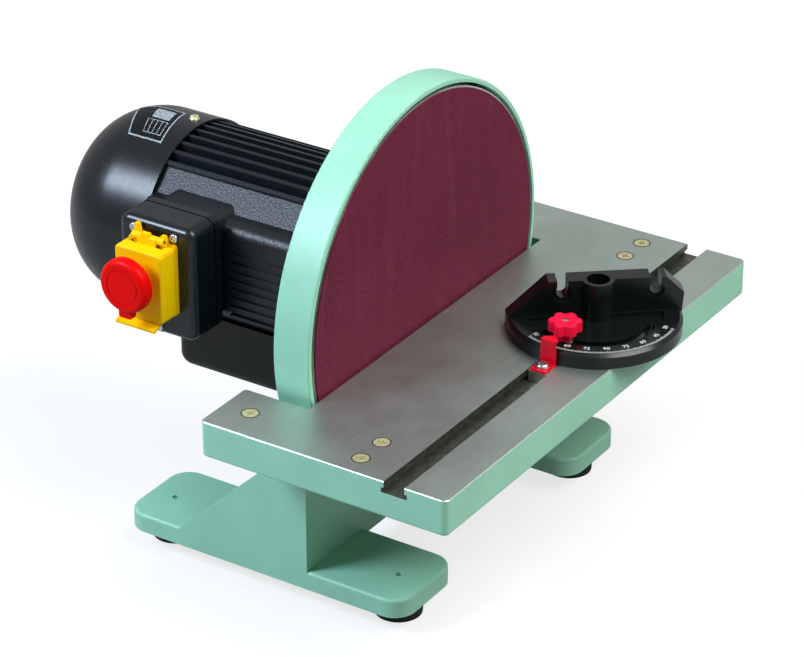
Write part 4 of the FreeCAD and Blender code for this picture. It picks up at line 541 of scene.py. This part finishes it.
class SANDER_OT_mitre_gauge(bpy.types.Operator):
    """Finishes the mitre gauge's head, bar, knob and pointer"""
    bl_idname = "sander.mitre_gauge"
    bl_label = "Mitre gauge"

    def execute(self, context):
        colours = context.scene.sander_colours
        # Die-cast aluminium under a thin coat of smooth black.
        head = coated("die_cast_satin_black", linear("#0C1312"), 0.08, 20.0, (0.20, 0.27), 1.0,
                      0.010, Specular_IOR_Level=0.4)
        coat(head, "mitre_head")
        # Moulded red plastic, and red enamel on pressed steel.
        knob = coated("moulded_red_knob", colours.knob, 0.03, 15.0, (0.34, 0.42), 1.0, 0.006,
                      Specular_IOR_Level=0.12)
        coat(knob, "mitre_lock_knob")
        pointer = coated("red_enamel_on_steel", colours.pointer, 0.04, 10.0, (0.30, 0.38), 0.9,
                         0.008, Specular_IOR_Level=0.15)
        coat(pointer, "mitre_pointer")
        # Ground steel, with its lines along the bar.
        bar = turned_metal("ground_bar_steel", linear("#C2C2B8"), (0.34, 0.46), 0.6, "Y")
        coat(bar, "mitre_bar")
        return {"FINISHED"}


def scale_frame():
    """The mitre head's own axes: its pivot at the top face, swivelled as the head is at rest."""
    pivot = Vector(joint("mitre_swivel")["pos_m"])
    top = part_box("mitre_head")[0].z + HEAD_THICKNESS + PRINT_LIFT
    return Matrix.Translation((pivot.x, pivot.y, top)) @ Matrix.Rotation(STORED_SWIVEL, 4, "Z")


class SANDER_OT_mitre_scale(bpy.types.Operator):
    """Prints the mitre scale's lines and numbers"""
    bl_idname = "sander.mitre_scale"
    bl_label = "Mitre scale"

    def execute(self, context):
        scene = context.scene
        sizes = scene.sander_sizes
        # Screen-printed epoxy ink: flat, slightly broken white.
        ink = coated("printed_white_ink", scene.sander_colours.marking, 0.08, 1.2, (0.5, 0.6),
                     0.4, 0.004)
        place = scale_frame()
        bm = bmesh.new()
        for degree in range(-SCALE_RANGE, SCALE_RANGE + 1):
            share = 1.0
            if degree % NUMERAL_STEP == 0:
                share = NUMERAL_TICK
            elif degree % FIVE_STEP == 0:
                share = FIVE_TICK
            half = Vector((sizes.tick * share / 2, sizes.tick_width / 2, PRINT_LIFT / 2))
            angle = math.pi + math.radians(degree)
            turn = place @ Matrix.Rotation(angle, 4, "Z")
            middle = Matrix.Translation((SCALE_RADIUS - half.x, 0.0, 0.0))
            size = Matrix.Diagonal((2 * half.x, 2 * half.y, 2 * half.z, 1.0))
            bmesh.ops.create_cube(bm, size=1.0, matrix=turn @ middle @ size)
        new_piece("mitre_scale_lines", bm, ink, "mitre_head")
        for degree in range(-SCALE_RANGE, SCALE_RANGE + 1, NUMERAL_STEP):
            self.numeral(context, place, degree, sizes.numeral, ink)
        return {"FINISHED"}

    def numeral(self, context, place, degree, height, ink):
        """Prints one number, upright along its radius."""
        side = "left" if degree < 0 else "right"
        reading = MIDDLE_READING - abs(degree)
        text = bpy.data.curves.new(f"numeral_{abs(degree)}_{side}", "FONT")
        text.body = str(reading)
        text.size = height * NUMERAL_FONT
        text.align_x = "CENTER"
        text.align_y = "CENTER"
        text.extrude = PRINT_LIFT / 2
        text.resolution_u = NUMERAL_CURVE
        angle = math.pi + math.radians(degree)
        spot = Matrix.Rotation(angle, 4, "Z") @ Matrix.Translation((NUMERAL_RADIUS, 0.0, 0.0))
        upright = Matrix.Rotation(math.radians(90.0), 4, "Z")
        carrier = bpy.data.objects.new("numeral_carrier", text)
        context.scene.collection.objects.link(carrier)
        context.view_layer.update()
        solid = carrier.evaluated_get(context.evaluated_depsgraph_get())
        shape = bpy.data.meshes.new_from_object(solid)
        bpy.data.objects.remove(carrier)
        bm = bmesh.new()
        bm.from_mesh(shape)
        bmesh.ops.transform(bm, matrix=place @ spot @ upright, verts=bm.verts)
        bmesh.ops.remove_doubles(bm, verts=bm.verts, dist=MERGE_DISTANCE)
        new_piece(f"mitre_numeral_{side}_{reading}", bm, ink, "mitre_head")


def cover_patch(name, fields, lift, material):
    """A skin over fields of the label, laid on the fan cover by casting rays at its axis."""
    cover = frame["nodes"]["fan_cover"].data
    surface = BVHTree.FromPolygons(
        [v.co for v in cover.vertices], [p.vertices for p in cover.polygons])
    axis_z = joint("disc_spin")["pos_m"][2]
    steps = PATCH_STEPS
    bm = bmesh.new()

    def on_cover(across, along):
        """The point over the cover at these shares of the label."""
        angle = math.radians(LABEL_LOW[0] + (LABEL_HIGH[0] - LABEL_LOW[0]) * across)
        near = LABEL_LOW[1] + (LABEL_HIGH[1] - LABEL_LOW[1]) * across
        far = LABEL_LOW[2] + (LABEL_HIGH[2] - LABEL_LOW[2]) * across
        out = Vector((math.sin(angle), 0.0, math.cos(angle)))
        start = Vector((0.0, (near + (far - near) * along) * MM, axis_z)) + out
        hit, normal, _, _ = surface.ray_cast(start, -out)
        return hit + normal * lift

    for u0, u1, v0, v1 in fields:
        rows = [[bm.verts.new(on_cover(u0 + (u1 - u0) * i / steps, v0 + (v1 - v0) * j / steps))
                 for j in range(steps + 1)] for i in range(steps + 1)]
        for i in range(steps):
            for j in range(steps):
                bm.faces.new((rows[i][j], rows[i][j + 1], rows[i + 1][j + 1], rows[i + 1][j]))
    # The faces have no normals here yet, so the second layer lies on the first.
    bmesh.ops.solidify(bm, geom=bm.faces[:], thickness=lift / 2)
    return new_piece(name, bm, material, "machine")


class SANDER_OT_rating_label(bpy.types.Operator):
    """Lays a blank rating label on the fan cover"""
    bl_idname = "sander.rating_label"
    bl_label = "Rating label"

    def execute(self, context):
        # Screen-printed polyester film: flat black, ruled in pale grey, and blank.
        film = coated("printed_black_film", linear("#12171A"), 0.05, 12.0, (0.34, 0.42), 1.0, 0.004)
        ink = coated("printed_pale_ink", linear("#C9D6DA"), 0.06, 4.0, (0.4, 0.5), 0.6, 0.004)
        line = LABEL_LINE
        cover_patch("rating_label", [(0.0, 1.0, 0.0, 1.0)], FILM_LIFT, film)
        border = [(0.0, line, 0.0, 1.0), (1 - line, 1.0, 0.0, 1.0), (0.0, 1.0, 0.0, line),
                  (0.0, 1.0, 1 - line, 1.0)]
        fields = [(u, u + line / 2, TABLE_LINES_ALONG[0], TABLE_LINES_ALONG[-1])
                  for u in TABLE_LINES_ACROSS]
        fields += [(TABLE_LINES_ACROSS[0], TABLE_LINES_END, v, v + line / 2)
                   for v in TABLE_LINES_ALONG]
        cover_patch("rating_label_ruling", border + fields + [LABEL_PANEL], RULING_LIFT, ink)
        return {"FINISHED"}


class SANDER_OT_fasteners(bpy.types.Operator):
    """Plates the screws, studs, pins and washers"""
    bl_idname = "sander.fasteners"
    bl_label = "Fasteners"

    def execute(self, context):
        # Zinc with yellow chromate: a pale brassy grey that darkens in patches.
        yellow = coated("yellow_zinc_plated_steel", linear("#DAD7A6"), 0.16, 2.5, (0.30, 0.42),
                        0.6, 0.01, metallic=0.6)
        coat(yellow, "table_screws", "fan_cover_screws")
        # Bright zinc on cold-headed steel: pale and slightly blue.
        bright = coated("bright_zinc_plated_steel", linear("#C9CCCE"), 0.08, 3.0, (0.20, 0.32),
                        0.6, 0.008, metallic=1.0)
        coat(bright, "housing_bolts", "motor_flange_bolts", "motor_tie_bolts",
             "capacitor_box_screws", "capacitor_clamp", "pivot_screws", "lock_studs",
             "lock_washers", "switch_box_screws", "mitre_lock_stud", "mitre_lock_washer",
             "mitre_pointer_screw")
        # Plain steel, turned.
        steel = linear("#A2A3A4")
        coat(turned_metal("turned_steel", steel, (0.22, 0.34), 0.5, "Z"),
             "mitre_pivot_screw", "hub_set_screws", "lid_hinge_pin", "shaft_key")
        coat(turned_metal("turned_shaft_steel", steel, (0.22, 0.34), 0.5, "Y"), "motor_shaft")
        return {"FINISHED"}


class SANDER_OT_rubber_and_knobs(bpy.types.Operator):
    """Moulds the rubber feet, the gasket and the tilt locks' knobs"""
    bl_idname = "sander.rubber_and_knobs"
    bl_label = "Rubber and knobs"

    def execute(self, context):
        # Moulded black rubber: dull.
        rubber = coated("moulded_black_rubber", linear("#151616"), 0.10, 12.0, (0.62, 0.75), 0.8,
                        0.03, Specular_IOR_Level=0.3)
        coat(rubber, "rubber_feet", "switch_box_gasket")
        # Moulded phenolic knobs: deep black and glossy.
        knob = coated("moulded_phenolic_knob", linear("#101112"), 0.05, 10.0, (0.2, 0.28), 1.0,
                      0.005)
        coat(knob, "tilt_lock_knob_left", "tilt_lock_knob_right")
        return {"FINISHED"}


class SANDER_OT_inner_works(bpy.types.Operator):
    """Finishes what the motor and its boxes hold"""
    bl_idname = "sander.inner_works"
    bl_label = "Inner works"

    def execute(self, context):
        # Ground and polished bearing steel.
        coat(turned_metal("polished_bearing_steel", linear("#C4C6C8"), (0.08, 0.16), 0.4, "Y"),
             "front_bearing_outer", "front_bearing_inner", "front_bearing_balls",
             "rear_bearing_outer", "rear_bearing_inner", "rear_bearing_balls")
        # Stamped silicon steel sheets in a stack: fine lines across the axis.
        coat(turned_metal("stacked_silicon_steel", linear("#6C6E70"), (0.35, 0.5), 0.9, "Y"),
             "stator_core", "rotor_core")
        # Enamelled copper wire under varnish.
        winding = coated("varnished_copper_winding", linear("#9A4A22"), 0.2, 3.0, (0.25, 0.4),
                         1.0, 0.4, Coat_Weight=0.5)
        coat(winding, "stator_windings")
        # White polypropylene can.
        can = coated("moulded_white_polypropylene", linear("#D9D9D2"), 0.03, 20.0, (0.4, 0.5),
                     1.0, 0.006)
        coat(can, "run_capacitor")
        return {"FINISHED"}


class SANDER_OT_stage(bpy.types.Operator):
    """Lays the pale floor and sets the lamps, the surroundings and the camera"""
    bl_idname = "sander.stage"
    bl_label = "Stage"

    def execute(self, context):
        scene = context.scene
        view = scene.sander_view
        self.floor(scene)
        self.surroundings(scene, view.ambient)
        self.lamp(scene, "key_lamp", KEY_PLACE, KEY_SIZE, view.key_power, KEY_COLOUR)
        self.lamp(scene, "top_lamp", TOP_PLACE, TOP_SIZE, view.top_power, TOP_COLOUR)
        self.camera(scene, view)
        scene.view_settings.view_transform = "Standard"
        return {"FINISHED"}

    def floor(self, scene):
        """Lays the floor."""
        bm = bmesh.new()
        bmesh.ops.create_grid(
            bm, x_segments=FLOOR_SQUARES, y_segments=FLOOR_SQUARES, size=FLOOR_HALF)
        mesh = bpy.data.meshes.new("floor")
        bm.to_mesh(mesh)
        bm.free()
        floor = bpy.data.objects.new("floor", mesh)
        scene.collection.objects.link(floor)
        mesh.materials.append(self.paper())

    def paper(self):
        """The floor's material."""
        # Matt grey backdrop paper, dull enough that little light comes back up under the table.
        # To the camera it is lifted close to white, and to full white further out, and its own
        # shading keeps the shadow. In a reflection it is lifted less.
        material, shader, place = blank_material("matt_white_paper")
        fibre = noise(material, place, 4.0)
        base = mixed(material, fibre, linear("#8E8E8E"), linear("#949494"))
        link(material, base, shader, "Base Color")
        shader.inputs["Roughness"].default_value = 0.9
        shader.inputs["Specular IOR Level"].default_value = 0.1
        seen, glossy = ray_kinds(material)
        gloss = between(material, glossy, 0.0, 1.0, 0.0, FLOOR_GLOSS)
        away = add_node(material, "ShaderNodeVectorMath", {0: place}, operation="LENGTH")
        white = between(material, away.outputs["Value"], FLOOR_NEAR, FLOOR_FAR, FLOOR_LIFT, 1.0)
        lift = add_node(material, "ShaderNodeMath", {0: seen, 1: white, 2: gloss},
                        operation="MULTIPLY_ADD")
        glow = add_node(material, "ShaderNodeEmission", {
            "Color": WHITE, "Strength": lift.outputs[0]})
        both = add_node(material, "ShaderNodeAddShader", {
            0: shader.outputs["BSDF"], 1: glow.outputs[0]})
        output = next(n for n in material.node_tree.nodes if n.type == "OUTPUT_MATERIAL")
        material.node_tree.links.new(both.outputs[0], output.inputs["Surface"])
        return material

    def surroundings(self, scene, ambient):
        """A white room: full white to the camera, and dimmer as light and in a reflection."""
        world = bpy.data.worlds.new("white_room")
        world.use_nodes = True
        world.node_tree.nodes.clear()
        seen, glossy = ray_kinds(world)
        lit = between(world, glossy, 0.0, 1.0, ambient, GLOSS_LEVEL)
        strength = add_node(world, "ShaderNodeMath", {0: seen, 1: lit}, operation="MAXIMUM")
        back = add_node(world, "ShaderNodeBackground", {
            "Color": WHITE, "Strength": strength.outputs[0]})
        add_node(world, "ShaderNodeOutputWorld", {"Surface": back.outputs[0]})
        scene.world = world

    def lamp(self, scene, name, place, size, power, colour):
        """A square lamp aimed at the sander."""
        light = bpy.data.lights.new(name, "AREA")
        light.energy = power
        light.color = linear(colour)[:3]
        light.size = size
        lamp = bpy.data.objects.new(name, light)
        lamp.location = place
        aim = Vector(LAMP_AIM) - Vector(place)
        lamp.rotation_euler = aim.to_track_quat("-Z", "Y").to_euler()
        scene.collection.objects.link(lamp)

    def camera(self, scene, view):
        """The camera, on a sphere round its target."""
        data = bpy.data.cameras.new("camera")
        data.sensor_width = SENSOR_WIDTH
        data.lens = view.focal_length
        data.clip_end = CLIP_END
        camera = bpy.data.objects.new("camera", data)
        back = Vector((math.sin(view.azimuth) * math.cos(view.elevation),
                       -math.cos(view.azimuth) * math.cos(view.elevation),
                       math.sin(view.elevation)))
        camera.location = Vector(view.target) + back * view.distance
        camera.rotation_euler = (-back).to_track_quat("-Z", "Y").to_euler()
        scene.collection.objects.link(camera)
        scene.camera = camera


OPERATORS = (
    SANDER_OT_castings, SANDER_OT_table, SANDER_OT_disc, SANDER_OT_motor, SANDER_OT_switch,
    SANDER_OT_mitre_gauge, SANDER_OT_mitre_scale, SANDER_OT_rating_label, SANDER_OT_fasteners,
    SANDER_OT_rubber_and_knobs, SANDER_OT_inner_works, SANDER_OT_stage,
)


class SANDER_PT_sidebar(bpy.types.Panel):
    """Lists the sander's finishing steps"""
    bl_idname = "SANDER_PT_sidebar"
    bl_label = "Disc Sander"
    bl_space_type = "VIEW_3D"
    bl_region_type = "UI"
    bl_category = "Sander"

    def draw(self, context):
        for operator in OPERATORS:
            self.layout.operator(operator.bl_idname)
        scene = context.scene
        for group in (scene.sander_colours, scene.sander_sizes, scene.sander_view):
            box = self.layout.box()
            for name in group.__annotations__:
                box.prop(group, name)


CLASSES = (SanderColours, SanderSizes, SanderView) + OPERATORS + (SANDER_PT_sidebar,)


def register():
    for cls in CLASSES:
        bpy.utils.register_class(cls)
    bpy.types.Scene.sander_colours = bpy.props.PointerProperty(type=SanderColours)
    bpy.types.Scene.sander_sizes = bpy.props.PointerProperty(type=SanderSizes)
    bpy.types.Scene.sander_view = bpy.props.PointerProperty(type=SanderView)


def unregister():
    del bpy.types.Scene.sander_view
    del bpy.types.Scene.sander_sizes
    del bpy.types.Scene.sander_colours
    for cls in reversed(CLASSES):
        bpy.utils.unregister_class(cls)


def main():
    register()
    for operator in OPERATORS:
        group, name = operator.bl_idname.split(".")
        getattr(getattr(bpy.ops, group), name)()


if __name__ == "__main__":
    main()
